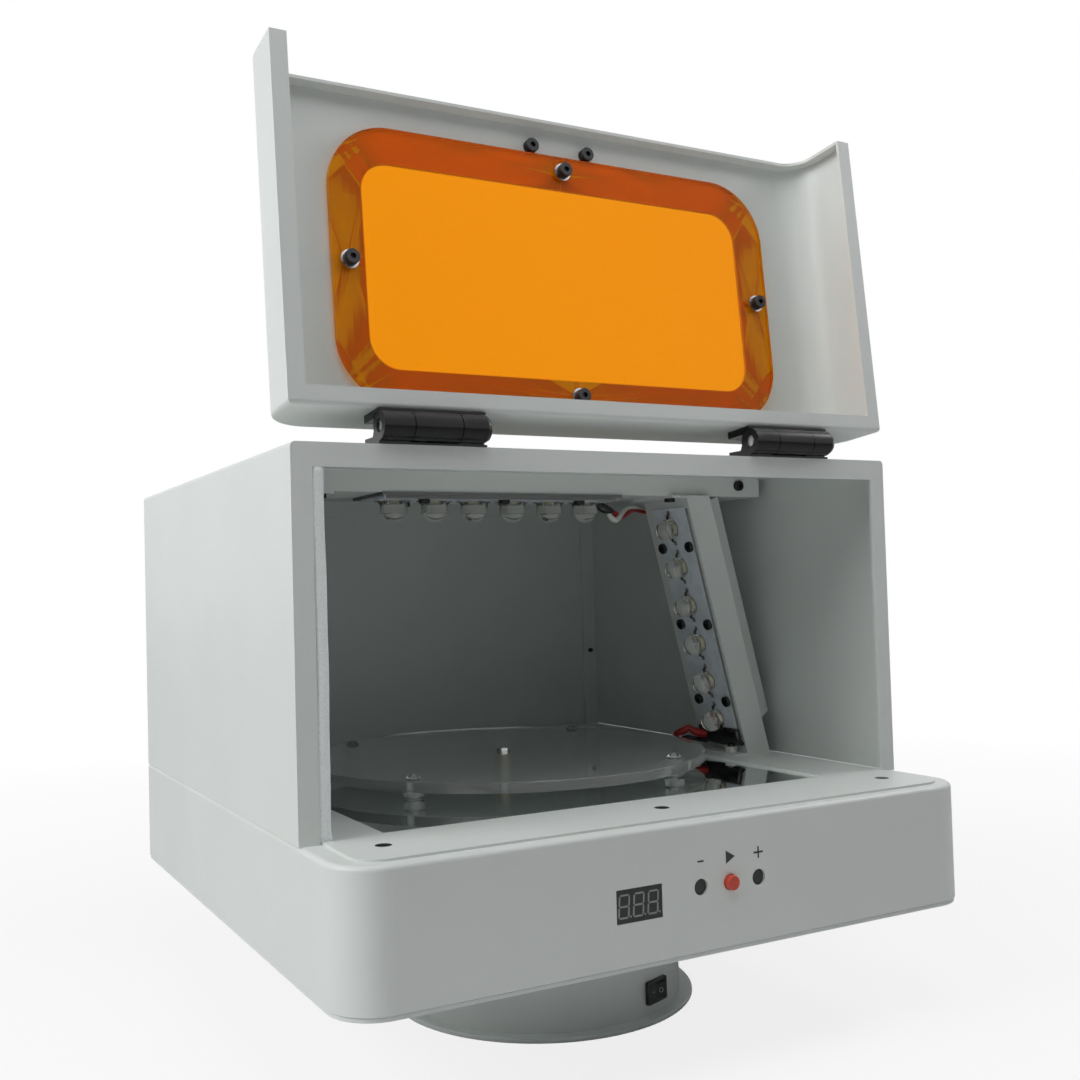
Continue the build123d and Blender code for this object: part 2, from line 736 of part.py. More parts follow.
with BuildPart() as ceiling_beam:
    with BuildSketch(Plane.YZ.offset(-beam_half)):
        with Locations((y_beam + beam_depth / 2, z_beam + beam_lip / 2)):
            Rectangle(beam_depth, beam_lip)
        with Locations((y_beam + beam_depth / 2, z_beam + beam_lip / 2 + beam_sheet)):
            Rectangle(beam_depth - 2 * beam_sheet, beam_lip, mode=Mode.SUBTRACT)
    extrude(amount=2 * beam_half)
    with BuildSketch(Plane.XY.offset(z_beam)):
        with Locations((tab_screw_x, frame_screw_y), (bar_top_x - bar_screw_inset, frame_screw_y)):
            Circle(m3_hole)
    extrude(amount=beam_sheet, mode=Mode.SUBTRACT)
    with BuildSketch(Plane.XZ.offset(-y_beam)):
        with Locations((beam_screw_x, beam_screw_z)):
            Circle(m3_hole)
    extrude(amount=-beam_sheet, mode=Mode.SUBTRACT)
    with BuildSketch(ceiling_face):
        with Locations(*board_screw_places):
            Circle(m3_hole)
    extrude(amount=-plate_thickness - beam_sheet, mode=Mode.SUBTRACT)
save(ceiling_beam, "ceiling_beam")

with BuildPart() as ceiling_beam_tab:
    with BuildSketch(Plane.XZ.offset(-y_beam - beam_depth)):
        with BuildLine():
            Polyline(
                (tab_length - half_width, z_tab), (sheet + beam_sheet - half_width, z_tab),
                (sheet + beam_sheet - half_width, z_tab - tab_length / 2),
                (sheet - half_width, z_tab - tab_length / 2),
                (sheet - half_width, z_beam), (tab_length - half_width, z_beam), close=True)
        make_face()
    extrude(amount=beam_depth)
    with BuildSketch(Plane.XY.offset(z_tab)):
        with Locations((tab_screw_x, frame_screw_y)):
            Circle(m3_hole)
    extrude(amount=beam_sheet, mode=Mode.SUBTRACT)
save(ceiling_beam_tab, "ceiling_beam_tab")

# Slanted side bar: an upright bent channel that carries the second LED board
bar_section = Plane(origin=(bar_foot_x, y_bar, z_floor), x_dir=bar_out, z_dir=bar_up)
return_slope = hypot(bar_return_out, bar_return_back)
return_step = (bar_return_back / return_slope * bar_sheet, bar_return_out / return_slope * bar_sheet)
with BuildPart() as side_bar_bracket:
    with BuildSketch(bar_section.offset(-bar_flange)):
        Rectangle(bar_sheet, bar_depth, align=Align.MIN)
        Rectangle(bar_flange, bar_sheet, align=Align.MIN)
    extrude(amount=bar_length + 2 * bar_flange)
    with BuildSketch(bar_section.offset(bar_return_start)):
        with BuildLine():
            Polyline(
                (bar_flange - bar_sheet, 0),
                (bar_flange, 0),
                (bar_flange + bar_return_out, bar_return_back),
                (bar_flange + bar_return_out - return_step[0], bar_return_back + return_step[1]),
                (bar_flange - return_step[0], return_step[1]),
                close=True)
        make_face()
    extrude(amount=bar_length - bar_return_start - bar_return_end)
    split(bisect_by=Plane.XY.offset(z_floor), keep=Keep.TOP)
    split(bisect_by=Plane.XY.offset(z_beam), keep=Keep.BOTTOM)
    with BuildSketch(Plane.XY.offset(z_floor)):
        with Locations((bar_foot_x, y_bar)):
            Rectangle(bar_foot_width, bar_depth, align=(Align.MAX, Align.MIN))
            Rectangle(bar_sheet, bar_depth, align=Align.MIN)
        with Locations((bar_foot_x - bar_screw_inset, frame_screw_y)):
            Circle(m3_hole, mode=Mode.SUBTRACT)
    extrude(amount=bar_sheet)
    with BuildSketch(Plane.XY.offset(z_tab)):
        with Locations((bar_top_x, y_bar)):
            Rectangle(bar_foot_width, bar_depth, align=(Align.MAX, Align.MIN))
            Rectangle(bar_sheet, bar_depth, align=Align.MIN)
        with Locations((bar_top_x - bar_screw_inset, frame_screw_y)):
            Circle(m3_hole, mode=Mode.SUBTRACT)
    extrude(amount=beam_sheet)
    with BuildSketch(side_face):
        with Locations(*board_screw_places):
            Circle(m3_hole)
    extrude(amount=-2 * bar_sheet, mode=Mode.SUBTRACT)
save(side_bar_bracket, "side_bar_bracket")

with BuildPart() as side_bar_spacer:
    with BuildSketch(Plane.XY.offset(z_floor + bar_sheet)):
        with Locations((bar_foot_x - bar_screw_inset, frame_screw_y)):
            Circle(spacer_radius)
            Circle(m3_hole, mode=Mode.SUBTRACT)
    extrude(amount=spacer_height)
save(side_bar_spacer, "side_bar_spacer")

# Screws of the LED frame: foot, bar top, tab and the beam's front face
beam_screw_seat = Plane(
    origin=(beam_screw_x, y_beam, beam_screw_z), x_dir=(1, 0, 0), z_dir=(0, -1, 0))
foot_screw = cap_screw(small_head, small_head_height, m3_shank, spacer_height + bar_sheet, m3_shank)
sheet_screw = cap_screw(m3_head, m3_head_height, m3_shank, 4 * beam_sheet, m3_shank)
with BuildPart() as led_frame_screws:
    with Locations(down(bar_foot_x - bar_screw_inset, frame_screw_y, z_floor + bar_sheet + spacer_height)):
        add(foot_screw.part)
    with Locations(
            up(bar_top_x - bar_screw_inset, frame_screw_y, z_tab),
            up(tab_screw_x, frame_screw_y, z_tab), beam_screw_seat):
        add(sheet_screw.part)
save(led_frame_screws, "led_frame_screws")

with BuildPart() as ceiling_led_plate:
    with BuildSketch(ceiling_face):
        with Locations((0, plate_depth / 2 - plate_proud - ceiling_board_setback)):
            Rectangle(plate_length, plate_depth)
        with Locations(*board_screw_places):
            Circle(m3_hole, mode=Mode.SUBTRACT)
    extrude(amount=-plate_thickness)
save(ceiling_led_plate, "ceiling_led_plate")


def led_board(face):
    """One bare LED board lying on the given face."""
    with BuildPart() as board:
        with BuildSketch(face):
            RectangleRounded(board_length, board_width, board_thickness / 2)
            with Locations(*board_screw_places):
                Circle(m3_hole, mode=Mode.SUBTRACT)
        extrude(amount=board_thickness)
    return board


ceiling_led_board = led_board(ceiling_face)
save(ceiling_led_board, "ceiling_led_board")
side_led_board = led_board(side_face)
save(side_led_board, "side_led_board")

with BuildPart() as led_emitters:
    for face in led_faces:
        with BuildSketch(face.offset(board_thickness)):
            with GridLocations(led_pitch, 0, led_count, 1):
                Circle(emitter_radius)
        extrude(amount=emitter_height)
save(led_emitters, "led_emitters")

with BuildPart() as lens:
    with BuildSketch(Plane.XZ):
        with BuildLine():
            Polyline(
                (lens_pocket_radius, 0), (lens_radius, 0), (lens_radius, lens_skirt),
                (lens_dome, lens_skirt))
            RadiusArc((lens_dome, lens_skirt), (0, lens_skirt + lens_dome), -lens_dome)
            Polyline(
                (0, lens_skirt + lens_dome), (0, lens_pocket_depth),
                (lens_pocket_radius, lens_pocket_depth), (lens_pocket_radius, 0))
        make_face()
    revolve(axis=Axis.Z)
lens_seats = [
    face.offset(board_thickness).location * Location((led_pitch * (i - (led_count - 1) / 2), 0, 0))
    for face in led_faces
    for i in range(led_count)
]
led_lenses = place(lens, lens_seats)
save(led_lenses, "led_lenses")

board_screw = cap_screw(
    m3_head, m3_head_height, m3_shank, board_thickness + plate_thickness + beam_sheet, m3_shank)
led_board_screws = place(
    board_screw,
    [face.offset(board_thickness).location * Location((x, y, 0))
     for face in led_faces for x, y in board_screw_places])
save(led_board_screws, "led_board_screws")

# Taped connector over the foot end of the side board, drawn across the bar
tape_start = -board_length / 2 - 1.9
tape_end = -board_length / 2 + 4.8
tape_height = 3.4
tape_margin = 1.0
tape_section = Plane(
    origin=side_face.from_local_coords((0, -board_width / 2 - tape_margin, 0)),
    x_dir=side_face.x_dir, z_dir=side_face.y_dir * -1)
with BuildPart() as side_bar_connector:
    with BuildSketch(tape_section):
        with BuildLine():
            Polyline(
                (tape_start, touch), (tape_start, tape_height), (tape_end, tape_height),
                (tape_end, board_thickness + touch), (-board_length / 2 - touch, board_thickness + touch),
                (-board_length / 2 - touch, touch), close=True)
        make_face()
    extrude(amount=-board_width - 2 * tape_margin)
    fillet(side_bar_connector.edges().filter_by(Axis.Y).sort_by(Axis.X)[:1], tape_height / 6)
save(side_bar_connector, "side_bar_connector")

# Control board behind the front panel, with display, switches and three buttons
panel_inner = y_front + sheet
z_controls = z_seam + base_height / 2
board_front = panel_inner + board_gap
standoff_span = 8.0
with BuildPart() as control_board:
    with BuildSketch(Plane.XZ.offset(-board_front)):
        with Locations((0, z_controls)):
            RectangleRounded(control_board_width, control_board_tall, sheet)
            with GridLocations(control_board_width - standoff_span, control_board_tall - standoff_span, 2, 2):
                Circle(m3_hole, mode=Mode.SUBTRACT)
    extrude(amount=-board_thickness)
save(control_board, "control_board")

with BuildPart() as board_standoffs:
    with BuildSketch(Plane.XZ.offset(-panel_inner)):
        with Locations((0, z_controls)):
            with GridLocations(control_board_width - standoff_span, control_board_tall - standoff_span, 2, 2):
                Circle(m3_head)
    extrude(amount=-board_gap)
save(board_standoffs, "board_standoffs")

display_fit = 0.15
with BuildPart() as display_module:
    with BuildSketch(Plane.XZ.offset(-board_front)):
        with Locations((display_x, z_seam + display_height)):
            Rectangle(display_width - 2 * display_fit, display_tall - 2 * display_fit)
    extrude(amount=board_gap + sheet - display_fit)
save(display_module, "display_module")

button_places = [button_x + button_pitch * i for i in (-1, 0, 1)]
z_button = z_seam + button_height
with BuildPart() as button_switches:
    with BuildSketch(Plane.XZ.offset(-board_front)):
        with Locations(*[(x, z_button) for x in button_places]):
            Rectangle(switch_side, switch_side)
    extrude(amount=switch_body)
save(button_switches, "button_switches")


def push_button(x, stand):
    """A button cap that stands proud of the panel by the given amount."""
    with BuildPart() as cap:
        with BuildSketch(Plane.XZ.offset(-board_front + switch_body + button_travel + touch)):
            with Locations((x, z_button)):
                Circle(button_hole_radius - button_gap)
        extrude(amount=board_gap + sheet + stand - switch_body - button_travel - touch)
        fillet(cap.edges().filter_by(GeomType.CIRCLE).sort_by(Axis.Y)[0], button_hole_radius / 6)
    return cap


minus_button = push_button(button_places[0], -side_button_recess)
save(minus_button, "minus_button")
start_button = push_button(button_places[1], start_button_stand)
save(start_button, "start_button")
plus_button = push_button(button_places[2], -side_button_recess)
save(plus_button, "plus_button")

# LED driver board on the bottom plate, with its standing parts and feet
driver_inset = 82.0
driver_x = half_width - driver_inset
driver_setback = 212.0
driver_y = y_mouth + driver_setback
driver_width = 92.0
driver_length = 66.0
driver_lift = 6.0
driver_top = z_seam + driver_lift + board_thickness
driver_foot_inset = 4.0
coil_width = 26.0
coil_length = 30.0
can_radius = 7.0
can_height = 22.0
terminal_width = 20.0
terminal_length = 14.0
terminal_height = 10.0
terminal_x = driver_x + driver_width / 2 - terminal_length
terminal_y = driver_y - driver_length / 2 + driver_foot_inset + terminal_width / 4
with BuildPart() as driver_board:
    with BuildSketch(Plane.XY.offset(z_seam + driver_lift)):
        with Locations((driver_x, driver_y)):
            Rectangle(driver_width, driver_length)
    extrude(amount=board_thickness)
    with BuildSketch(Plane.XY.offset(z_seam)):
        with Locations((driver_x, driver_y)):
            with GridLocations(
                    driver_width - 2 * driver_foot_inset, driver_length - 2 * driver_foot_inset, 2, 2):
                Circle(m3_head)
    extrude(amount=driver_lift)
    with BuildSketch(Plane.XY.offset(driver_top)):
        with Locations((driver_x - can_height, driver_y)):
            Rectangle(coil_width, coil_length)
        with Locations((driver_x + 2 * driver_foot_inset, driver_y)):
            with GridLocations(0, driver_length / 2 - 2 * driver_foot_inset, 1, 2):
                Circle(can_radius)
    extrude(amount=can_height)
    with BuildSketch(Plane.XY.offset(driver_top)):
        with Locations((terminal_x, terminal_y)):
            Rectangle(terminal_width, terminal_length)
    extrude(amount=terminal_height)
save(driver_board, "driver_board")

# Rubber grommet that lines the wire hole in the floor plate
grommet_lip = 1.6
with BuildPart() as wire_grommet:
    with BuildSketch(Plane.XY.offset(z_floor)):
        with Locations((grommet_x, y_grommet)):
            Circle(grommet_radius)
    extrude(amount=grommet_lip)
    with BuildSketch(Plane.XY.offset(z_floor)):
        with Locations((grommet_x, y_grommet)):
            Circle(grommet_radius - 1 - running_fit)
    extrude(amount=-floor_thickness - grommet_lip)
    with BuildSketch(Plane.XY.offset(z_floor + grommet_lip)):
        with Locations((grommet_x, y_grommet)):
            Circle(grommet_radius / 2 + wire_radius / 2)
    extrude(amount=-floor_thickness - 2 * grommet_lip, mode=Mode.SUBTRACT)
save(wire_grommet, "wire_grommet")


def wire(points, radii):
    """A wire along straight runs joined by tangent arcs."""
    with BuildPart() as tube:
        with BuildLine() as route:
            FilletPolyline(*points, radius=radii)
        start = route.wire() @ 0
        heading = route.wire() % 0
        with BuildSketch(Plane(origin=start, z_dir=heading)):
            Circle(wire_radius)
        sweep(path=route.wire())
    return tube


# Supply wires, from the taped connector through the grommet to the driver's terminals
tap = side_face.from_local_coords((
    (tape_start + tape_end) / 2, board_width / 2 + tape_margin, board_thickness + wire_radius))
wire_lane = 1.4 * wire_radius
terminal_z = driver_top + terminal_height / 2
for lane, label in ((-wire_lane, "red_supply_wire"), (wire_lane, "black_supply_wire")):
    rise = 4.0 - lane
    route_points = [
        (tap.X + lane, tap.Y, tap.Z),
        (tap.X + lane, tap.Y + 5, tap.Z),
        (tap.X + lane, tap.Y + 13, tap.Z + rise),
        (grommet_x + lane, y_grommet, tap.Z + rise - 1),
        (grommet_x + lane, y_grommet, z_deck - 10),
        (terminal_x + 3 * lane, y_grommet + 14, terminal_z + 6),
        (terminal_x + 3 * lane, terminal_y - 15, terminal_z),
        (terminal_x + 3 * lane, terminal_y - 7, terminal_z),
    ]
    save(wire(route_points, [5, 5, 4.5, 6, 6, 5]), label)

# Link wires between the two boards, looping below the ceiling board's end
board_end = ceiling_face.from_local_coords((-board_length / 2, 0, board_thickness / 2))
bar_end = side_face.from_local_coords((board_length / 2 + wire_radius, 0, board_thickness / 2))
link_reach = bar_end.X - board_end.X
for row, label in ((-1, "red_link_wire"), (1, "white_link_wire")):
    lane = row * 3 * wire_radius
    drop = 6.0 - 2 * row
    route_points = [
        (board_end.X, board_end.Y + lane, board_end.Z),
        (board_end.X + link_reach * 0.16, board_end.Y + lane, board_end.Z),
        (board_end.X + link_reach * 0.32, board_end.Y + 2 * lane, board_end.Z - drop),
        (board_end.X + link_reach * 0.57, board_end.Y + 2 * lane, board_end.Z - drop),
        (bar_end.X - link_reach * 0.046, bar_end.Y + lane, bar_end.Z + 3),
        bar_end + Vector(0, lane, 0),
    ]
    save(wire(route_points, [link_reach * part for part in (0.09, 0.11, 0.11, 0.055)]), label)

# The lid's frame: origin on the hinge axis, turned from shut to the photographed rest
opening = radians(-lid_open_angle)
lid_back = Vector(0, cos(opening), sin(opening))
lid_up = Vector(0, -sin(opening), cos(opening))
lid_frame = Plane(origin=(0, y_axis, z_axis), x_dir=(1, 0, 0), z_dir=lid_up)
hood_rim = -lid_gap / 2
hood_front = hood_rim - lid_depth
hood_top = -axis_rise
lid_height = z_roof - z_floor - lid_floor_gap
hood_free = hood_top - lid_height
window_height = lid_height - window_head - window_foot
window_z = hood_top - window_head - window_height / 2
handle_z = hood_free + handle_rise


def lid_level(height):
    """The lid's horizontal plane at a height above the hinge axis, lid shut."""
    return lid_frame.offset(height)


def lid_wall(depth):
    """The lid's upright plane at a depth behind the hinge axis, facing the front."""
    return Plane(origin=lid_frame.origin + lid_back * depth, x_dir=(1, 0, 0), z_dir=lid_back * -1)


with BuildPart() as lid_hood:
    with BuildSketch(lid_level(hood_free)):
        rounded_front(half_width, hood_front, hood_rim, corner_radius)
    extrude(amount=lid_height)
    fillet(lid_hood.faces().sort_by(Axis.Z)[0].edges().filter_by(
        lambda edge: edge.center().Y > y_axis + lid_gap), bend_radius)
    with BuildSketch(lid_level(hood_free + sheet)):
        rounded_front(half_width - sheet, hood_front + sheet, hood_rim - sheet, corner_radius - sheet)
    extrude(amount=lid_height - 2 * sheet, mode=Mode.SUBTRACT)
    with BuildSketch(lid_wall(hood_rim)):
        with Locations((0, (hood_free + hood_top - lid_hinge_rim) / 2)):
            Rectangle(cabinet_width - 2 * lid_side_rim, lid_height - lid_hinge_rim)
    extrude(amount=sheet, mode=Mode.SUBTRACT)
    with BuildSketch(lid_level(hood_free)):
        rounded_front(half_width - lid_lip, hood_front + lid_lip, hood_rim, corner_radius - lid_lip)
    extrude(amount=sheet, mode=Mode.SUBTRACT)
    with BuildSketch(lid_wall(hood_front)):
        with Locations((0, window_z)):
            RectangleRounded(window_width, window_height, window_radius)
            with Locations((0, window_height / 2 + window_lap - pane_screw_inset),
                           (0, -window_height / 2 - window_lap + pane_screw_inset),
                           (window_width / 2 + window_lap - pane_screw_inset, 0),
                           (-window_width / 2 - window_lap + pane_screw_inset, 0)):
                Circle(m4_hole)
        with Locations((0, handle_z)):
            with GridLocations(handle_pitch, 0, 2, 1):
                Circle(m4_hole)
    extrude(amount=-sheet, mode=Mode.SUBTRACT)
    with BuildSketch(lid_level(hood_top)):
        for side in (-1, 1):
            with Locations((side * hinge_offset, -leaf_screw_depth)):
                with GridLocations(leaf_screw_pitch, 0, 2, 1):
                    Circle(m4_hole)
    extrude(amount=-sheet, mode=Mode.SUBTRACT)
save(lid_hood, "lid_hood")

pane_inner = hood_front + sheet
pane_half_width = window_width / 2 + window_lap
pane_half_height = window_height / 2 + window_lap
pane_screw_places = [
    (0, pane_half_height - pane_screw_inset),
    (0, pane_screw_inset - pane_half_height),
    (pane_half_width - pane_screw_inset, 0),
    (pane_screw_inset - pane_half_width, 0),
]
with BuildPart() as window_pane:
    with BuildSketch(lid_wall(pane_inner)):
        with Locations((0, window_z)):
            RectangleRounded(2 * pane_half_width, 2 * pane_half_height, window_radius + window_lap)
            with Locations(*pane_screw_places):
                Circle(m4_hole, mode=Mode.SUBTRACT)
    extrude(amount=-pane_thickness)
save(window_pane, "window_pane")


def inside_seat(x, z, depth):
    """A seat that a screw enters from inside the hood."""
    origin = lid_frame.from_local_coords((x, depth, z))
    return Plane(origin=origin, x_dir=(1, 0, 0), z_dir=lid_back)


pane_face = pane_inner + pane_thickness
with BuildPart() as window_washers:
    with BuildSketch(lid_wall(pane_face)):
        with Locations(*[(x, window_z + z) for x, z in pane_screw_places]):
            Circle(washer_radius)
            Circle(m4_hole, mode=Mode.SUBTRACT)
    extrude(amount=-washer_thickness)
save(window_washers, "window_washers")

window_screw = cap_screw(
    m4_head, m4_head_height, m4_shank, washer_thickness + pane_thickness + sheet, m4_hex)
window_screws = place(
    window_screw,
    [inside_seat(x, window_z + z, pane_face + washer_thickness) for x, z in pane_screw_places])
save(window_screws, "window_screws")

handle_tap = 6.0
handle_screw = cap_screw(m4_head, m4_head_height, m4_shank, sheet + handle_tap, m4_hex)
handle_screws = place(
    handle_screw, [inside_seat(side * handle_pitch / 2, handle_z, pane_inner) for side in (-1, 1)])
save(handle_screws, "handle_screws")

# Pull handle outside the hood, tapped for the two screws
handle_start = Vector(-handle_pitch / 2, hood_front, handle_z)
with BuildPart() as lid_handle:
    with BuildLine() as handle_route:
        FilletPolyline(
            lid_frame.from_local_coords((-handle_pitch / 2, hood_front, handle_z)),
            lid_frame.from_local_coords((-handle_pitch / 2, hood_front - handle_reach, handle_z)),
            lid_frame.from_local_coords((handle_pitch / 2, hood_front - handle_reach, handle_z)),
            lid_frame.from_local_coords((handle_pitch / 2, hood_front, handle_z)),
            radius=handle_bend)
    with BuildSketch(Plane(origin=lid_frame.from_local_coords(handle_start), z_dir=lid_back * -1)):
        Circle(handle_radius)
    sweep(path=handle_route.wire())
    with BuildSketch(lid_wall(hood_front)):
        with Locations((0, handle_z)):
            with GridLocations(handle_pitch, 0, 2, 1):
                Circle(m4_hole)
    extrude(amount=handle_tap + 2 * sheet, mode=Mode.SUBTRACT)
save(lid_handle, "lid_handle")


# Hinges: each leaf is drawn across the hinge, with x away from the axis and y up from its plate
def leaf_body(section):
    """A leaf's plate, relieved round the barrel and countersunk for its screws."""
    with BuildPart() as leaf:
        with BuildSketch(section.offset(-hinge_length / 2)):
            with Locations((leaf_gap / 2, -axis_rise)):
                Rectangle(leaf_depth - leaf_gap / 2, leaf_thickness, align=Align.MIN)
            Circle(knuckle_radius + knuckle_relief, mode=Mode.SUBTRACT)
        extrude(amount=hinge_length)
        face = Plane(
            origin=section.from_local_coords((leaf_screw_depth, leaf_thickness - axis_rise, 0)),
            x_dir=section.z_dir, z_dir=section.y_dir)
        with Locations(face):
            with GridLocations(leaf_screw_pitch, 0, 2, 1):
                CounterSinkHole(m4_hole, flat_head + touch)
    return leaf


def knuckle(section, start, length):
    """One knuckle with the neck that joins it to its plate."""
    with BuildPart() as barrel:
        with BuildSketch(section.offset(start)):
            Circle(knuckle_radius)
            with BuildLine():
                Polyline(
                    (leaf_gap / 2, -axis_rise), (neck_depth, -axis_rise),
                    (neck_depth, leaf_thickness - axis_rise),
                    (knuckle_radius * 0.96, -knuckle_radius * 0.24), (0, 0), close=True)
            make_face()
            Circle(pin_radius + running_fit, mode=Mode.SUBTRACT)
        extrude(amount=length)
    return barrel


middle_knuckle = hinge_length - 2 * outer_knuckle - 2 * knuckle_gap
with BuildPart() as hinge_cabinet_leaves:
    for side in (-1, 1):
        section = Plane(
            origin=(side * hinge_offset, y_axis, z_axis), x_dir=(0, 1, 0), z_dir=(1, 0, 0))
        left_knuckle = knuckle(section, -hinge_length / 2, outer_knuckle)
        right_knuckle = knuckle(section, hinge_length / 2 - outer_knuckle, outer_knuckle - cap_thickness)
        add(leaf_body(section).part)
        add(left_knuckle.part)
        add(right_knuckle.part)
        with BuildSketch(section.offset(hinge_length / 2 - cap_thickness)):
            Circle(knuckle_radius)
        extrude(amount=cap_thickness, taper=30)
        with BuildSketch(section.offset(-hinge_length / 2)):
            Circle(pin_head_radius + running_fit)
        extrude(amount=pin_recess, mode=Mode.SUBTRACT)
save(hinge_cabinet_leaves, "hinge_cabinet_leaves")

with BuildPart() as hinge_lid_leaves:
    for side in (-1, 1):
        section = Plane(
            origin=(side * hinge_offset, y_axis, z_axis), x_dir=lid_back * -1, z_dir=(-1, 0, 0))
        add(leaf_body(section).part)
        add(knuckle(section, -middle_knuckle / 2, middle_knuckle).part)
save(hinge_lid_leaves, "hinge_lid_leaves")

with BuildPart() as hinge_pins:
    for side in (-1, 1):
        with BuildSketch(Plane.YZ.offset(side * hinge_offset - hinge_length / 2 + pin_recess)):
            with Locations((y_axis, z_axis)):
                Circle(pin_radius)
        extrude(amount=hinge_length - pin_recess - cap_thickness)
        with BuildSketch(Plane.YZ.offset(side * hinge_offset - hinge_length / 2 + pin_recess)):
            with Locations((y_axis, z_axis)):
                Circle(pin_head_radius)
        extrude(amount=-pin_head_length)
save(hinge_pins, "hinge_pins")

leaf_screw = flat_screw(flat_head, flat_head_height, m4_shank, leaf_thickness + 2 * sheet)
leaf_screw_x = [
    side * hinge_offset + end * leaf_screw_pitch / 2 for side in (-1, 1) for end in (-1, 1)
]
hinge_cabinet_screws = place(
    leaf_screw, [down(x, y_axis + leaf_screw_depth, z_roof + leaf_thickness) for x in leaf_screw_x])
save(hinge_cabinet_screws, "hinge_cabinet_screws")

lid_screw_seats = [
    Plane(origin=lid_frame.from_local_coords((x, -leaf_screw_depth, hood_top + leaf_thickness)),
          x_dir=(1, 0, 0), z_dir=lid_up)
    for x in leaf_screw_x
]
hinge_lid_screws = place(leaf_screw, lid_screw_seats)
save(hinge_lid_screws, "hinge_lid_screws")
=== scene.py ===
"""A bench-top UV curing chamber: finishes, small trim, lights and camera round the fixed frame."""
import logging
import math
from dataclasses import dataclass
from enum import Enum
from typing import Iterable, Sequence

import bmesh
import bpy
from mathutils import Matrix, Vector


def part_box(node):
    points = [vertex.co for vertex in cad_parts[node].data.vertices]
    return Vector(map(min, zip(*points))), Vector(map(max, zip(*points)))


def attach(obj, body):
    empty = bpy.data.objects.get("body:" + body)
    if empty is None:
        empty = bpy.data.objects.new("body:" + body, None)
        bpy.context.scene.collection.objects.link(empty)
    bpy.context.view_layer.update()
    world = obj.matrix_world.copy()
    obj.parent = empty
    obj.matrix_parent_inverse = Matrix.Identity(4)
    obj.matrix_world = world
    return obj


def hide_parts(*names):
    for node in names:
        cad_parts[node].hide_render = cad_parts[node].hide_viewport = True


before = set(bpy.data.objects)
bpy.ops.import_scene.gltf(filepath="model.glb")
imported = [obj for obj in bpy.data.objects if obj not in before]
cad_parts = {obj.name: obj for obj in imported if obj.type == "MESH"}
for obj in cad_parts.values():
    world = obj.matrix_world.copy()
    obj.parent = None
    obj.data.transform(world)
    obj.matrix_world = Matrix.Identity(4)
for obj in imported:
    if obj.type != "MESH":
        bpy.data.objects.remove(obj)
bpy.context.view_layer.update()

log = logging.getLogger("curing_chamber")

MM = 0.001
BAR_TILT = math.radians(14.26)
BAR_UP = Vector((-math.sin(BAR_TILT), 0, math.cos(BAR_TILT)))
BAR_OUT = Vector((-math.cos(BAR_TILT), 0, -math.sin(BAR_TILT)))
BOARD_THICKNESS = 1.6 * MM

Colour = tuple[float, float, float]
Outline = tuple[tuple[float, float], ...]


class Body(Enum):
    """The rigid bodies that the added pieces ride on."""

    CABINET = "cabinet"
    ROCKER = "power_rocker"


# Node helpers


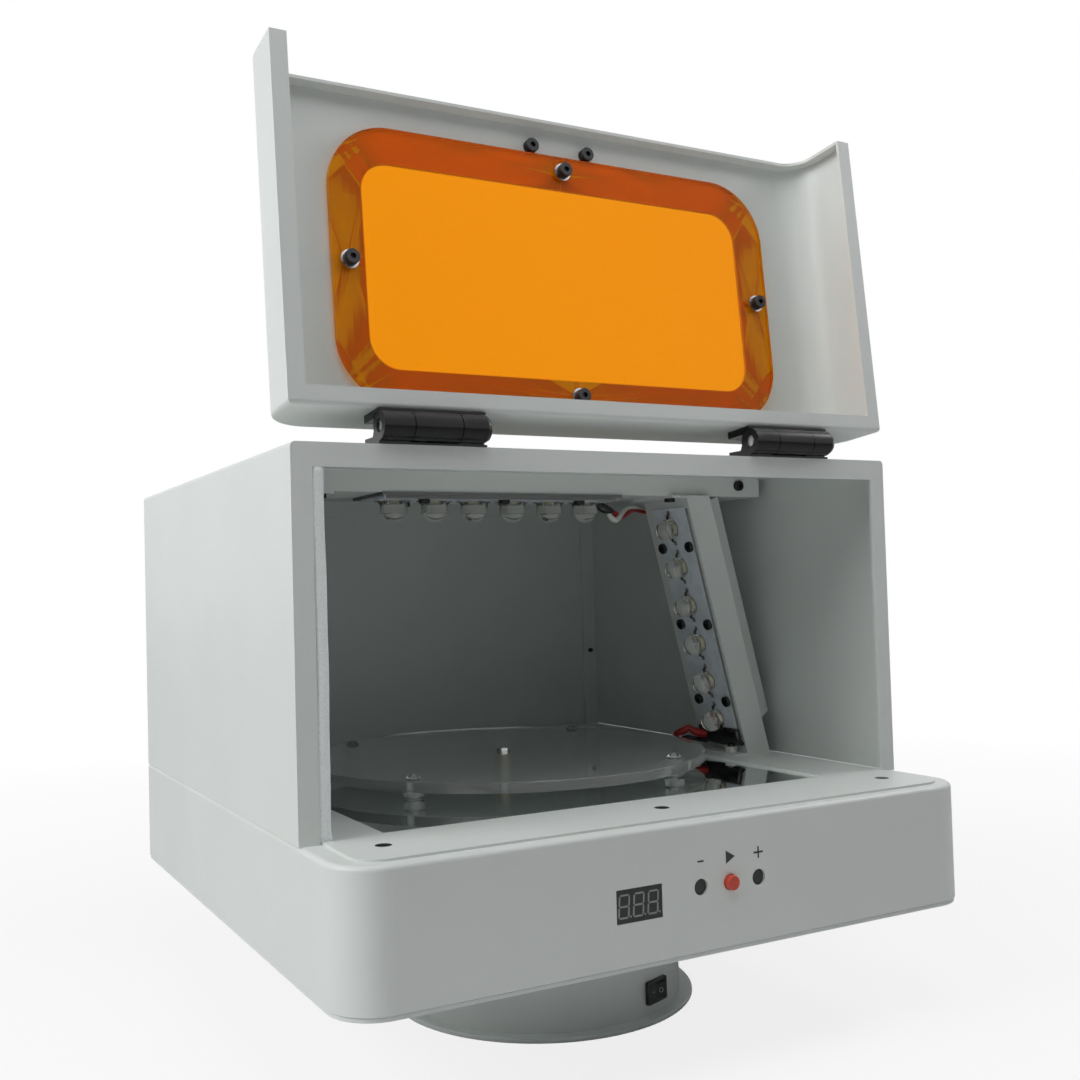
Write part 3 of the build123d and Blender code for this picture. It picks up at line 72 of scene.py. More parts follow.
class Tree:
    """A material's node tree with short calls for the nodes that the finishes share."""

    def __init__(self, name: str) -> None:
        """Make the material and find its shader.

        Args:
            name: The material's name.
        """
        self.material = bpy.data.materials.new(name)
        self.material.use_nodes = True
        self.nodes = self.material.node_tree.nodes
        self.links = self.material.node_tree.links
        self.shader = self.nodes["Principled BSDF"]
        self.place = self.nodes.new("ShaderNodeTexCoord").outputs["Object"]

    def set(self, **values: object) -> None:
        """Set sockets of the shader, where a name's underscores stand for spaces."""
        for key, value in values.items():
            self.shader.inputs[key.replace("_", " ")].default_value = value

    def noise(self, size: float, detail: float = 2.0,
              stretch: Sequence[float] = (1, 1, 1)) -> bpy.types.NodeSocket:
        """Noise whose lumps have a real size.

        Args:
            size: The size of a lump, in metres.
            detail: The noise's detail.
            stretch: How much finer the noise is along each axis.

        Returns:
            The noise's factor.
        """
        mapping = self.nodes.new("ShaderNodeMapping")
        mapping.inputs["Scale"].default_value = stretch
        texture = self.nodes.new("ShaderNodeTexNoise")
        texture.inputs["Scale"].default_value = 1.0 / size
        texture.inputs["Detail"].default_value = detail
        self.links.new(self.place, mapping.inputs["Vector"])
        self.links.new(mapping.outputs["Vector"], texture.inputs["Vector"])
        return texture.outputs["Fac"]

    def ramp(self, factor: bpy.types.NodeSocket, low: Sequence[float], high: Sequence[float],
             start: float = 0.35, end: float = 0.65) -> bpy.types.NodeSocket:
        """A two-colour ramp over a factor.

        Args:
            factor: What drives the ramp.
            low: The colour below start.
            high: The colour above end.
            start: Where the ramp starts.
            end: Where the ramp ends.

        Returns:
            The ramp's colour.
        """
        node = self.nodes.new("ShaderNodeValToRGB")
        node.color_ramp.elements[0].position = start
        node.color_ramp.elements[1].position = end
        node.color_ramp.elements[0].color = (*low, 1.0)
        node.color_ramp.elements[1].color = (*high, 1.0)
        self.links.new(factor, node.inputs["Fac"])
        return node.outputs["Color"]

    def mottle(self, factor: bpy.types.NodeSocket, colour: Colour, shades: Sequence[float],
               start: float = 0.35, end: float = 0.65) -> None:
        """Let the base colour wander between two shades of a colour.

        Args:
            factor: What drives it.
            colour: The finish's colour.
            shades: How bright it is at start and at end.
            start: The factor's low end.
            end: The factor's high end.
        """
        low, high = (shade(colour, part) for part in shades)
        self.links.new(self.ramp(factor, low, high, start, end), self.shader.inputs["Base Color"])

    def roughen(self, factor: bpy.types.NodeSocket, roughness: float, spread: Sequence[float],
                start: float = 0.3, end: float = 0.7) -> None:
        """Let the roughness wander about a value.

        Args:
            factor: What drives it.
            roughness: The finish's roughness.
            spread: What is added to it at start and at end.
            start: The factor's low end.
            end: The factor's high end.
        """
        node = self.nodes.new("ShaderNodeMapRange")
        node.inputs["From Min"].default_value = start
        node.inputs["From Max"].default_value = end
        node.inputs["To Min"].default_value = roughness + spread[0]
        node.inputs["To Max"].default_value = roughness + spread[1]
        self.links.new(factor, node.inputs["Value"])
        self.links.new(node.outputs["Result"], self.shader.inputs["Roughness"])

    def bump(self, height: bpy.types.NodeSocket, depth: float) -> None:
        """Raise the surface by a height texture.

        Args:
            height: The height, from 0 to 1.
            depth: The depth of the relief, in metres.
        """
        node = self.nodes.new("ShaderNodeBump")
        node.inputs["Strength"].default_value = 1.0
        node.inputs["Distance"].default_value = depth
        self.links.new(height, node.inputs["Height"])
        self.links.new(node.outputs["Normal"], self.shader.inputs["Normal"])


def shade(colour: Colour, factor: float) -> Colour:
    """The colour made darker or lighter by a factor."""
    return tuple(min(1.0, part * factor) for part in colour)


# Finishes


@dataclass(frozen=True)
class PowderCoat:
    """Baked paint with a fine orange-peel grain."""

    name: str
    colour: Colour
    roughness: float = 0.42
    grain: float = 1.1 * MM
    relief: float = 0.06 * MM
    cloud: float = 60 * MM
    shades: tuple[float, float] = (0.985, 1.012)
    spread: tuple[float, float] = (-0.05, 0.08)

    def make(self) -> bpy.types.Material:
        """Build the paint and return it."""
        tree = Tree(self.name)
        tree.mottle(tree.noise(self.cloud, 3.0), self.colour, self.shades)
        grain = tree.noise(self.grain, 1.5)
        tree.roughen(grain, self.roughness, self.spread)
        tree.bump(grain, self.relief)
        return tree.material


@dataclass(frozen=True)
class Plastic:
    """Moulded plastic or rubber with a little surface texture."""

    name: str
    colour: Colour
    roughness: float = 0.35
    grain: float = 0.5 * MM
    relief: float = 0.01 * MM
    coat: float = 0.0
    gloss: float = 0.5
    coat_roughness: float = 0.12
    cloud: float = 8 * MM
    shades: tuple[float, float] = (0.9, 1.08)
    spread: tuple[float, float] = (-0.05, 0.07)

    def make(self) -> bpy.types.Material:
        """Build the plastic and return it."""
        tree = Tree(self.name)
        cloud = tree.noise(self.cloud, 3.0)
        tree.mottle(cloud, self.colour, self.shades)
        tree.roughen(cloud, self.roughness, self.spread)
        tree.bump(tree.noise(self.grain), self.relief)
        tree.set(Coat_Weight=self.coat, Coat_Roughness=self.coat_roughness, Specular_IOR_Level=self.gloss)
        return tree.material


@dataclass(frozen=True)
class Metal:
    """Bare metal, brushed along one axis."""

    name: str
    colour: Colour
    roughness: float = 0.3
    stretch: tuple[float, float, float] = (1, 1, 1)
    relief: float = 0.004 * MM
    brush: float = 2 * MM
    shades: tuple[float, float] = (0.88, 1.06)
    spread: tuple[float, float] = (-0.06, 0.1)

    def make(self) -> bpy.types.Material:
        """Build the metal and return it."""
        tree = Tree(self.name)
        brushed = tree.noise(self.brush, 4.0, self.stretch)
        tree.mottle(brushed, self.colour, self.shades)
        tree.roughen(brushed, self.roughness, self.spread)
        tree.bump(brushed, self.relief)
        tree.set(Metallic=1.0)
        return tree.material


@dataclass(frozen=True)
class Clear:
    """Clear or tinted acrylic with faint handling marks."""

    name: str
    tint: Colour
    roughness: float = 0.03
    ior: float = 1.49
    haze: float = 0.0
    smear: float = 25 * MM
    spread: tuple[float, float] = (0.0, 0.03)

    def make(self) -> bpy.types.Material:
        """Build the acrylic and return it."""
        tree = Tree(self.name)
        tree.set(Base_Color=(*self.tint, 1.0), Transmission_Weight=1.0 - self.haze, IOR=self.ior)
        tree.roughen(tree.noise(self.smear, 4.0), self.roughness, self.spread)
        return tree.material


@dataclass(frozen=True)
class Silvered:
    """The polished mirror sheet on the chamber's floor."""

    name: str
    colour: Colour
    roughness: float = 0.02
    dust: float = 18 * MM
    shades: tuple[float, float] = (0.94, 1.0)
    spread: tuple[float, float] = (0.0, 0.025)

    def make(self) -> bpy.types.Material:
        """Build the mirror and return it."""
        tree = Tree(self.name)
        dust = tree.noise(self.dust, 6.0)
        tree.mottle(dust, self.colour, self.shades)
        tree.roughen(dust, self.roughness, self.spread)
        tree.set(Metallic=1.0)
        return tree.material


@dataclass(frozen=True)
class SolderMask:
    """A coated circuit board with faint copper areas under the mask and bare edges."""

    name: str
    colour: Colour
    edge: Colour = (0.2, 0.21, 0.2)
    edge_band: tuple[float, float] = (1.0, 0.98)
    pour: float = 6 * MM
    pour_shade: float = 0.93
    pour_band: tuple[float, float] = (0.49, 0.51)
    relief: float = 0.02 * MM
    roughness: float = 0.32
    coat: float = 0.25

    def make(self) -> bpy.types.Material:
        """Build the board's coating and return it."""
        tree = Tree(self.name)
        copper = tree.noise(self.pour, 0.0)
        mask = tree.ramp(copper, shade(self.colour, self.pour_shade), self.colour, *self.pour_band)
        surface = tree.nodes.new("ShaderNodeNewGeometry")
        split = tree.nodes.new("ShaderNodeSeparateXYZ")
        tree.links.new(surface.outputs["True Normal"], split.inputs["Vector"])
        tint = tree.nodes.new("ShaderNodeMix")
        tint.data_type = "RGBA"
        tint.inputs["A"].default_value = (*self.edge, 1.0)
        sides = tree.nodes.new("ShaderNodeMapRange")
        sides.inputs["From Min"].default_value, sides.inputs["From Max"].default_value = self.edge_band
        across = tree.nodes.new("ShaderNodeMath")
        across.operation = "ABSOLUTE"
        tree.links.new(split.outputs["Y"], across.inputs[0])
        tree.links.new(across.outputs["Value"], sides.inputs["Value"])
        tree.links.new(sides.outputs["Result"], tint.inputs["Factor"])
        tree.links.new(mask, tint.inputs["B"])
        tree.links.new(tint.outputs["Result"], tree.shader.inputs["Base Color"])
        tree.bump(copper, self.relief)
        tree.set(Roughness=self.roughness, Coat_Weight=self.coat)
        return tree.material


@dataclass(frozen=True)
class Foam:
    """Closed-cell foam with fine pores."""

    name: str
    colour: Colour
    pore: float = 0.9 * MM
    relief: float = 0.12 * MM
    shades: tuple[float, float] = (0.86, 1.0)
    roughness: float = 0.85

    def make(self) -> bpy.types.Material:
        """Build the foam and return it."""
        tree = Tree(self.name)
        cells = tree.nodes.new("ShaderNodeTexVoronoi")
        cells.inputs["Scale"].default_value = 1.0 / self.pore
        tree.links.new(tree.place, cells.inputs["Vector"])
        tree.mottle(cells.outputs["Distance"], self.colour, self.shades, 0.0, 0.5)
        tree.bump(cells.outputs["Distance"], self.relief)
        tree.set(Roughness=self.roughness)
        return tree.material


WHITE_COAT: Colour = (0.735, 0.77, 0.752)
BLACK: Colour = (0.012, 0.012, 0.013)

FINISHES = (
    PowderCoat("white_powder_coat", WHITE_COAT),
    Metal("blackened_screw", (0.05, 0.05, 0.052), roughness=0.42),
    Plastic("hinge_black", (0.006, 0.006, 0.0065), roughness=0.22, grain=0.8 * MM, gloss=0.3),
    Metal("bright_steel", (0.62, 0.62, 0.62), roughness=0.24),
    Metal("zinc_sheet", (0.6, 0.61, 0.6), roughness=0.38, stretch=(1, 8, 1)),
    Silvered("floor_mirror_silver", (0.86, 0.9, 0.88)),
    Clear("clear_acrylic", (0.93, 0.965, 0.95), roughness=0.04, haze=0.12),
    Clear("lens_acrylic", (0.98, 0.97, 0.91), roughness=0.01, haze=0.05),
    Clear("amber_acrylic", (0.94, 0.32, 0.0), roughness=0.015, ior=1.18, haze=0.12),
    Metal("turned_brass", (0.5, 0.41, 0.29), roughness=0.32, stretch=(1, 1, 6)),
    Plastic("white_nylon", (0.78, 0.79, 0.76), roughness=0.5),
    SolderMask("board_white", (0.78, 0.84, 0.91)),
    SolderMask("board_green", (0.02, 0.16, 0.07)),
    # The carrier plate's colour is set far darker than bare aluminium. This is painted shade, so the metal
    # stays dark inside the shaded chamber instead of mirroring the bright white world.
    Metal("carrier_aluminium", (0.22, 0.225, 0.22), roughness=0.45, stretch=(8, 1, 1)),
    Plastic("phosphor", (0.6, 0.57, 0.42), roughness=0.3),
    Plastic("moulded_black", BLACK, roughness=0.38),
    Plastic("start_red", (0.62, 0.045, 0.012), roughness=0.3, coat=0.3),
    Plastic("display_filter", (0.012, 0.014, 0.014), roughness=0.16, grain=0.4 * MM, relief=0.0005 * MM),
    Plastic("segment_grey", (0.26, 0.28, 0.26), roughness=0.45),
    Plastic("panel_ink", (0.02, 0.02, 0.022), roughness=0.5),
    Plastic("mark_grey", (0.42, 0.44, 0.44), roughness=0.5),
    Foam("white_foam", (0.92, 0.95, 0.96)),
    Plastic("soft_rubber", (0.03, 0.03, 0.03), roughness=0.7),
    Plastic("wire_red", (0.4, 0.012, 0.01), roughness=0.4),
    Plastic("wire_black", BLACK, roughness=0.4),
    Plastic("wire_white", (0.7, 0.7, 0.67), roughness=0.45),
    Plastic("wrapped_tape", (0.01, 0.01, 0.011), roughness=0.3, grain=3.5 * MM, relief=0.25 * MM),
    Metal("dark_lead", (0.12, 0.11, 0.1), roughness=0.4),
    Metal("solder", (0.3, 0.29, 0.28), roughness=0.35),
)

NODE_FINISHES: dict[str, tuple[str, ...]] = {
    "white_powder_coat": (
        "cabinet_shell", "bottom_plate", "rear_panel", "floor_plate", "pedestal_drum", "pedestal_flange",
        "lid_hood", "ceiling_beam", "ceiling_beam_tab", "side_bar_bracket"),
    "blackened_screw": (
        "bottom_plate_screws", "rear_panel_screws", "floor_plate_screws", "pedestal_screws", "window_screws",
        "handle_screws", "led_board_screws", "led_frame_screws", "hinge_cabinet_screws", "hinge_lid_screws"),
    "hinge_black": ("hinge_cabinet_leaves", "hinge_lid_leaves"),
    "bright_steel": (
        "hinge_pins", "window_washers", "turntable_shaft", "board_standoffs", "turntable_screw",
        "motor_screws"),
    "zinc_sheet": ("motor_bracket", "gear_motor"),
    "floor_mirror_silver": ("floor_mirror",),
    "clear_acrylic": ("turntable_disc", "turntable_pads"),
    "lens_acrylic": ("led_lenses",),
    "amber_acrylic": ("window_pane",),
    "turned_brass": ("turntable_hub",),
    "white_nylon": ("side_bar_spacer",),
    "board_white": ("ceiling_led_board", "side_led_board"),
    "board_green": ("control_board", "driver_board"),
    # The ceiling LED plate takes the aluminium with painted shade in its colour.
    "carrier_aluminium": ("ceiling_led_plate",),
    "phosphor": ("led_emitters",),
    "moulded_black": (
        "rocker_housing", "rocker_key", "dc_inlet", "minus_button", "plus_button", "button_switches",
        "lid_handle"),
    "start_red": ("start_button",),
    "display_filter": ("display_module",),
    "white_foam": ("jamb_seal",),
    "soft_rubber": ("wire_grommet",),
}


def dress_nodes(finishes: dict[str, bpy.types.Material]) -> None:
    """Give every node of the frame its finish.

    Args:
        finishes: The materials by name.
    """
    for finish, nodes in NODE_FINISHES.items():
        for node in nodes:
            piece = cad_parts[node]
            for slot in piece.material_slots:
                slot.material = finishes[finish]
            log.info("dressed %s in %s", node, finish)


# Mesh helpers


def lay_piece(name: str, mesh: bmesh.types.BMesh, finish: bpy.types.Material, body: Body,
              smooth: bool = False) -> bpy.types.Object:
    """Turn a bmesh into a piece that rides on a body.

    Args:
        name: The piece's name.
        mesh: The mesh, in metres in the frame's axes. It is freed.
        finish: The piece's material.
        body: The body that carries it.
        smooth: Whether its faces are shaded smooth.

    Returns:
        The new piece.
    """
    bmesh.ops.recalc_face_normals(mesh, faces=mesh.faces)
    for face in mesh.faces:
        face.smooth = smooth
    data = bpy.data.meshes.new(name)
    mesh.to_mesh(data)
    mesh.free()
    piece = bpy.data.objects.new(name, data)
    bpy.context.scene.collection.objects.link(piece)
    data.materials.append(finish)
    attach(piece, body.value)
    log.info("made %s on %s", name, body.value)
    return piece


def raise_plate(mesh: bmesh.types.BMesh, outline: Iterable[Sequence[float]], face: Matrix,
                thickness: float) -> None:
    """Add a thin plate with the given outline.

    Args:
        mesh: The mesh to add to.
        outline: The outline's points on the face, in metres.
        face: The face's frame, whose z axis points out of it.
        thickness: How far the plate stands out.
    """
    points = [Vector((x, y, 0)) for x, y in outline]
    low = [mesh.verts.new(face @ point) for point in points]
    high = [mesh.verts.new(face @ (point + Vector((0, 0, thickness)))) for point in points]
    mesh.faces.new(low[::-1])
    mesh.faces.new(high)
    for index in range(len(points)):
        after = (index + 1) % len(points)
        mesh.faces.new((low[index], low[after], high[after], high[index]))


def close_rings(mesh: bmesh.types.BMesh, rings: Sequence[Sequence[bmesh.types.BMVert]]) -> None:
    """Join rings of points into a closed skin with flat ends.

    Args:
        mesh: The mesh that holds the points.
        rings: The rings in order, each with the same number of points.
    """
    count = len(rings[0])
    for below, above in zip(rings, rings[1:]):
        for index in range(count):
            after = (index + 1) % count
            mesh.faces.new((below[index], below[after], above[after], above[index]))
    mesh.faces.new(rings[0][::-1])
    mesh.faces.new(rings[-1])


def lift_profile(mesh: bmesh.types.BMesh, profile: Sequence[Sequence[float]], face: Matrix, start: float,
                 end: float) -> None:
    """Add a profile drawn upright on a face and run across it.

    Args:
        mesh: The mesh to add to.
        profile: The profile's points, along the face and out of it.
        face: The face's frame.
        start: Where it starts across the face.
        end: Where it ends.
    """
    rings = [[mesh.verts.new(face @ Vector((x, y, z))) for x, z in profile] for y in (start, end)]
    close_rings(mesh, rings)


def turn_profile(mesh: bmesh.types.BMesh, profile: Sequence[Sequence[float]], face: Matrix,
                 count: int) -> None:
    """Add a profile turned about a face's z axis.

    Args:
        mesh: The mesh to add to.
        profile: Radius and height of its points, the last on the axis.
        face: The face's frame.
        count: The points round the turn.
    """
    columns = []
    for index in range(count):
        turn = math.tau * index / count
        columns.append([
            mesh.verts.new(face @ Vector((r * math.cos(turn), r * math.sin(turn), h))) for r, h in profile])
    for index in range(count):
        near, far = columns[index], columns[(index + 1) % count]
        for step in range(len(profile) - 1):
            mesh.faces.new((near[step], far[step], far[step + 1], near[step + 1]))
    if profile[0][0] > 0:
        mesh.faces.new([column[0] for column in columns])
    bmesh.ops.remove_doubles(mesh, verts=mesh.verts, dist=1e-7)


def sweep_tube(mesh: bmesh.types.BMesh, stations: Sequence[Sequence[float]], sides: int = 12,
               steps: int = 6) -> None:
    """Add a smooth tube through stations.

    Args:
        mesh: The mesh to add to.
        stations: The points, each with the tube's radius, in metres.
        sides: The points round the tube.
        steps: The rings between two stations.
    """
    knots = [Vector(station) for station in (stations[0], *stations, stations[-1])]
    line = []
    for before, here, there, beyond in zip(knots, knots[1:], knots[2:], knots[3:]):
        for step in range(steps):
            t = step / steps
            line.append(0.5 * (2 * here + (there - before) * t
                               + (2 * before - 5 * here + 4 * there - beyond) * t * t
                               + (3 * here - before - 3 * there + beyond) * t ** 3))
    line.append(knots[-1])
    side = Vector((0.3, 0.2, 1.0)).normalized()
    rings = []
    for index, point in enumerate(line):
        ahead = (line[min(index + 1, len(line) - 1)] - line[max(index - 1, 0)]).to_3d().normalized()
        side = (side - ahead * side.dot(ahead)).normalized()
        across = ahead.cross(side)
        rings.append([
            mesh.verts.new(point.to_3d() + point[3] * (side * math.cos(turn) + across * math.sin(turn)))
            for turn in (math.tau * k / sides for k in range(sides))])
    close_rings(mesh, rings)


def in_metres(rows: Sequence[Sequence[float]]) -> list[list[float]]:
    """The same rows of numbers, from millimetres to metres."""
    return [[value * MM for value in row] for row in rows]


def rectangle(x: float, y: float, width: float, height: float) -> list[tuple[float, float]]:
    """The corners of a rectangle about a centre."""
    return [(x + i * width / 2, y + j * height / 2) for i, j in ((-1, -1), (1, -1), (1, 1), (-1, 1))]


def heading(angle: float) -> Vector:
    """The level direction at an angle from the x axis, in degrees."""
    return Vector((math.cos(math.radians(angle)), math.sin(math.radians(angle)), 0))


def facing(origin: Sequence[float], x_dir: Vector, z_dir: Vector) -> Matrix:
    """A frame on a face.

    Args:
        origin: The frame's origin, in metres.
        x_dir: The direction of its x axis.
        z_dir: The direction out of the face.

    Returns:
        The frame as a matrix.
    """
    x_axis, z_axis = x_dir.normalized(), z_dir.normalized()
    y_axis = z_axis.cross(x_axis)
    turn = Matrix((x_axis, y_axis, z_axis)).transposed().to_4x4()
    return Matrix.Translation(Vector(origin)) @ turn


# Sub-assemblies


@dataclass
class FrontPanel:
    """The display's digits and the marks above the three buttons."""

    finishes: dict[str, bpy.types.Material]
    digit_height: float = 9.1 * MM
    digit_width: float = 4.7 * MM
    digit_pitch: float = 7.1 * MM
    segment: float = 0.75 * MM
    tip_gap: float = 1.4
    dot: float = 0.45 * MM
    dot_gap: float = 0.72 * MM
    dot_sides: int = 10
    lean: float = 0.07
    mark_height: float = 92.0 * MM
    mark_thickness: float = 0.06 * MM
    minus_width: float = 3.2 * MM
    plus_width: float = 5.0 * MM
    stroke: float = 0.75 * MM
    play_half: float = 2.8 * MM
    play_corners: Outline = ((-0.75, -1.0), (0.95, 0.0), (-0.75, 1.0))

    def segment_outline(self, start: Vector, end: Vector) -> list[tuple[float, float]]:
        """One bar of a digit with pointed ends.

        Args:
            start: The bar's first end.
            end: The bar's last end.

        Returns:
            The bar's outline.
        """
        along = (end - start).normalized()
        half = Vector((-along.y, along.x)) * self.segment / 2
        tip = along * self.segment / 2
        near, far = start + tip * self.tip_gap, end - tip * self.tip_gap
        points = (near - tip, near - half, far - half, far + tip, far + half, near + half)
        return [(point.x + self.lean * point.y, point.y) for point in points]

    def build_display(self) -> None:
        """Make the unlit segments behind the display's filter."""
        low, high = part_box("display_module")
        face = facing(
            ((low.x + high.x) / 2, low.y, (low.z + high.z) / 2), Vector((1, 0, 0)), Vector((0, -1, 0)))
        mesh = bmesh.new()
        w, h = self.digit_width / 2, self.digit_height / 2
        bars = (
            ((-w, 0), (-w, h)), ((-w, -h), (-w, 0)), ((w, 0), (w, h)), ((w, -h), (w, 0)),
            ((-w, h), (w, h)), ((-w, 0), (w, 0)), ((-w, -h), (w, -h)))
        for place in (-1, 0, 1):
            shift = Matrix.Translation((place * self.digit_pitch - self.dot, 0, 0))
            for start, end in bars:
                raise_plate(mesh, self.segment_outline(Vector(start), Vector(end)), face @ shift,
                            self.mark_thickness / 2)
            turns = [math.tau * index / self.dot_sides for index in range(self.dot_sides)]
            ring = [
                (w + self.dot_gap + self.dot * math.cos(turn), self.dot / 2 - h + self.dot * math.sin(turn))
                for turn in turns]
            raise_plate(mesh, ring, face @ shift, self.mark_thickness / 2)
        lay_piece("display_segments", mesh, self.finishes["segment_grey"], Body.CABINET)

    def build_marks(self) -> None:
        """Make the minus, start and plus marks."""
        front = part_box("cabinet_shell")[0].y
        marks = bmesh.new()
        for node in ("minus_button", "start_button", "plus_button"):
            low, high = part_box(node)
            face = facing(
                ((low.x + high.x) / 2, front, self.mark_height), Vector((1, 0, 0)), Vector((0, -1, 0)))
            if node == "start_button":
                triangle = [(x * self.play_half, y * self.play_half) for x, y in self.play_corners]
                raise_plate(marks, triangle, face, self.mark_thickness)
                continue
            width = self.minus_width if node == "minus_button" else self.plus_width
            raise_plate(marks, rectangle(0, 0, width, self.stroke), face, self.mark_thickness)
            if node == "plus_button":
                arm = (width - self.stroke) / 4 + self.stroke / 2
                for side in (-1, 1):
                    raise_plate(marks, rectangle(0, side * arm, self.stroke, (width - self.stroke) / 2),
                                face, self.mark_thickness)
        lay_piece("panel_marks", marks, self.finishes["panel_ink"], Body.CABINET)

    def build(self) -> None:
        """Make everything on the front panel."""
        self.build_display()
        self.build_marks()


@dataclass
class PowerRocker:
    """The dash and the ring on the two faces of the rocker's key."""

    finishes: dict[str, bpy.types.Material]
    angle: float = -68.9
    throw: float = 22.0
    pivot_radius: float = 69.02 * MM
    crown: float = 3.5 * MM
    height: float = 12.8 * MM
    offset: float = 2.6 * MM
    dash_length: float = 1.92 * MM
    ring_radius: float = 1.2 * MM
    ring_sides: int = 20
    line: float = 0.28 * MM
    thickness: float = 0.04 * MM

    def build(self) -> None:
        """Make both marks, riding on the key."""
        mesh = bmesh.new()
        pivot = heading(self.angle) * self.pivot_radius
        valley = pivot + heading(self.angle - self.throw / 2) * self.crown
        for side in (-1, 1):
            tilt = self.angle - self.throw / 2 * (1 + side)
            along = heading(tilt + 90.0)
            centre = valley + along * side * self.offset
            face = facing((centre.x, centre.y, self.height), along, heading(tilt))
            if side < 0:
                raise_plate(mesh, rectangle(0, 0, self.dash_length, self.line), face, self.thickness)
                continue
            inner, outer = self.ring_radius - self.line, self.ring_radius
            for index in range(self.ring_sides):
                a, b = (math.tau * (index + k) / self.ring_sides for k in (0, 1))
                raise_plate(
                    mesh,
                    [(r * math.cos(t), r * math.sin(t)) for r, t in
                     ((inner, a), (outer, a), (outer, b), (inner, b))], face, self.thickness)
        lay_piece("rocker_marks", mesh, self.finishes["mark_grey"], Body.ROCKER)


@dataclass
class LedBoards:
    """The leads and the clear caps of the LEDs on the two boards."""

    finishes: dict[str, bpy.types.Material]
    pitch: float = 22.8 * MM
    count: int = 6
    lead_half: float = 0.85 * MM
    lead_profile: Outline = (
        (5.6, 1.9), (7.4, 1.9), (8.4, 0.5), (9.6, 0.5), (9.6, 0.02), (8.1, 0.02), (7.1, 1.4), (5.6, 1.4))
    solder_seat: float = 9.0 * MM
    solder_profile: Outline = ((1.35, 0.0), (1.08, 0.36), (0.54, 0.57), (0.0, 0.6))
    solder_sides: int = 14
    cap_sides: int = 40
    flanged_cap: Outline = (
        (0.0, 11.0), (1.2, 10.95), (2.6, 10.55), (3.9, 9.75), (4.9, 8.55), (5.5, 7.2), (5.6, 6.65),
        (5.75, 6.55), (7.0, 6.5), (7.15, 6.4), (7.15, 6.2), (6.75, 0.35), (6.6, 0.25), (3.5, 0.25),
        (3.4, 0.35), (3.4, 2.3), (3.2, 2.6), (0.0, 2.6))
    plain_cap: Outline = (
        (0.0, 10.8), (1.5, 10.65), (3.0, 10.05), (4.4, 8.85), (5.35, 7.2), (5.8, 5.4), (5.9, 4.4), (5.9, 0.4),
        (5.75, 0.25), (3.5, 0.25), (3.4, 0.35), (3.4, 2.3), (3.2, 2.6), (0.0, 2.6))

    def build(self) -> None:
        """Make the leads and caps of both boards."""
        self.build_board("ceiling", Vector((1, 0, 0)), Vector((0, 0, -1)), self.flanged_cap)
        self.build_board("side", BAR_UP, BAR_OUT, self.plain_cap)

    def build_board(self, name: str, along: Vector, out: Vector, cap: Outline) -> None:
        """Make the small parts of one board.

        Args:
            name: The board's place.
            along: The board's long direction.
            out: The direction out of its face.
            cap: Radius and height of the outline of its clear caps.
        """
        low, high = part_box(f"{name}_led_board")
        centre = (low + high) / 2 + out * BOARD_THICKNESS / 2
        leads, solder, caps = bmesh.new(), bmesh.new(), bmesh.new()
        for index in range(self.count):
            middle = centre + along * self.pitch * (index - (self.count - 1) / 2)
            for side in (-1, 1):
                face = facing(middle, along * side, out)
                lift_profile(leads, in_metres(self.lead_profile), face, -self.lead_half, self.lead_half)
                seat = face @ Matrix.Translation((self.solder_seat, 0, 0))
                turn_profile(solder, in_metres(self.solder_profile), seat, self.solder_sides)
            turn_profile(caps, in_metres(cap), facing(middle, along, out), self.cap_sides)
        lay_piece(f"{name}_led_leads", leads, self.finishes["dark_lead"], Body.CABINET)
        lay_piece(f"{name}_led_solder", solder, self.finishes["solder"], Body.CABINET,
                  smooth=True)
        piece = lay_piece(f"{name}_led_caps", caps, self.finishes["lens_acrylic"], Body.CABINET,
                          smooth=True)
        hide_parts("led_lenses")


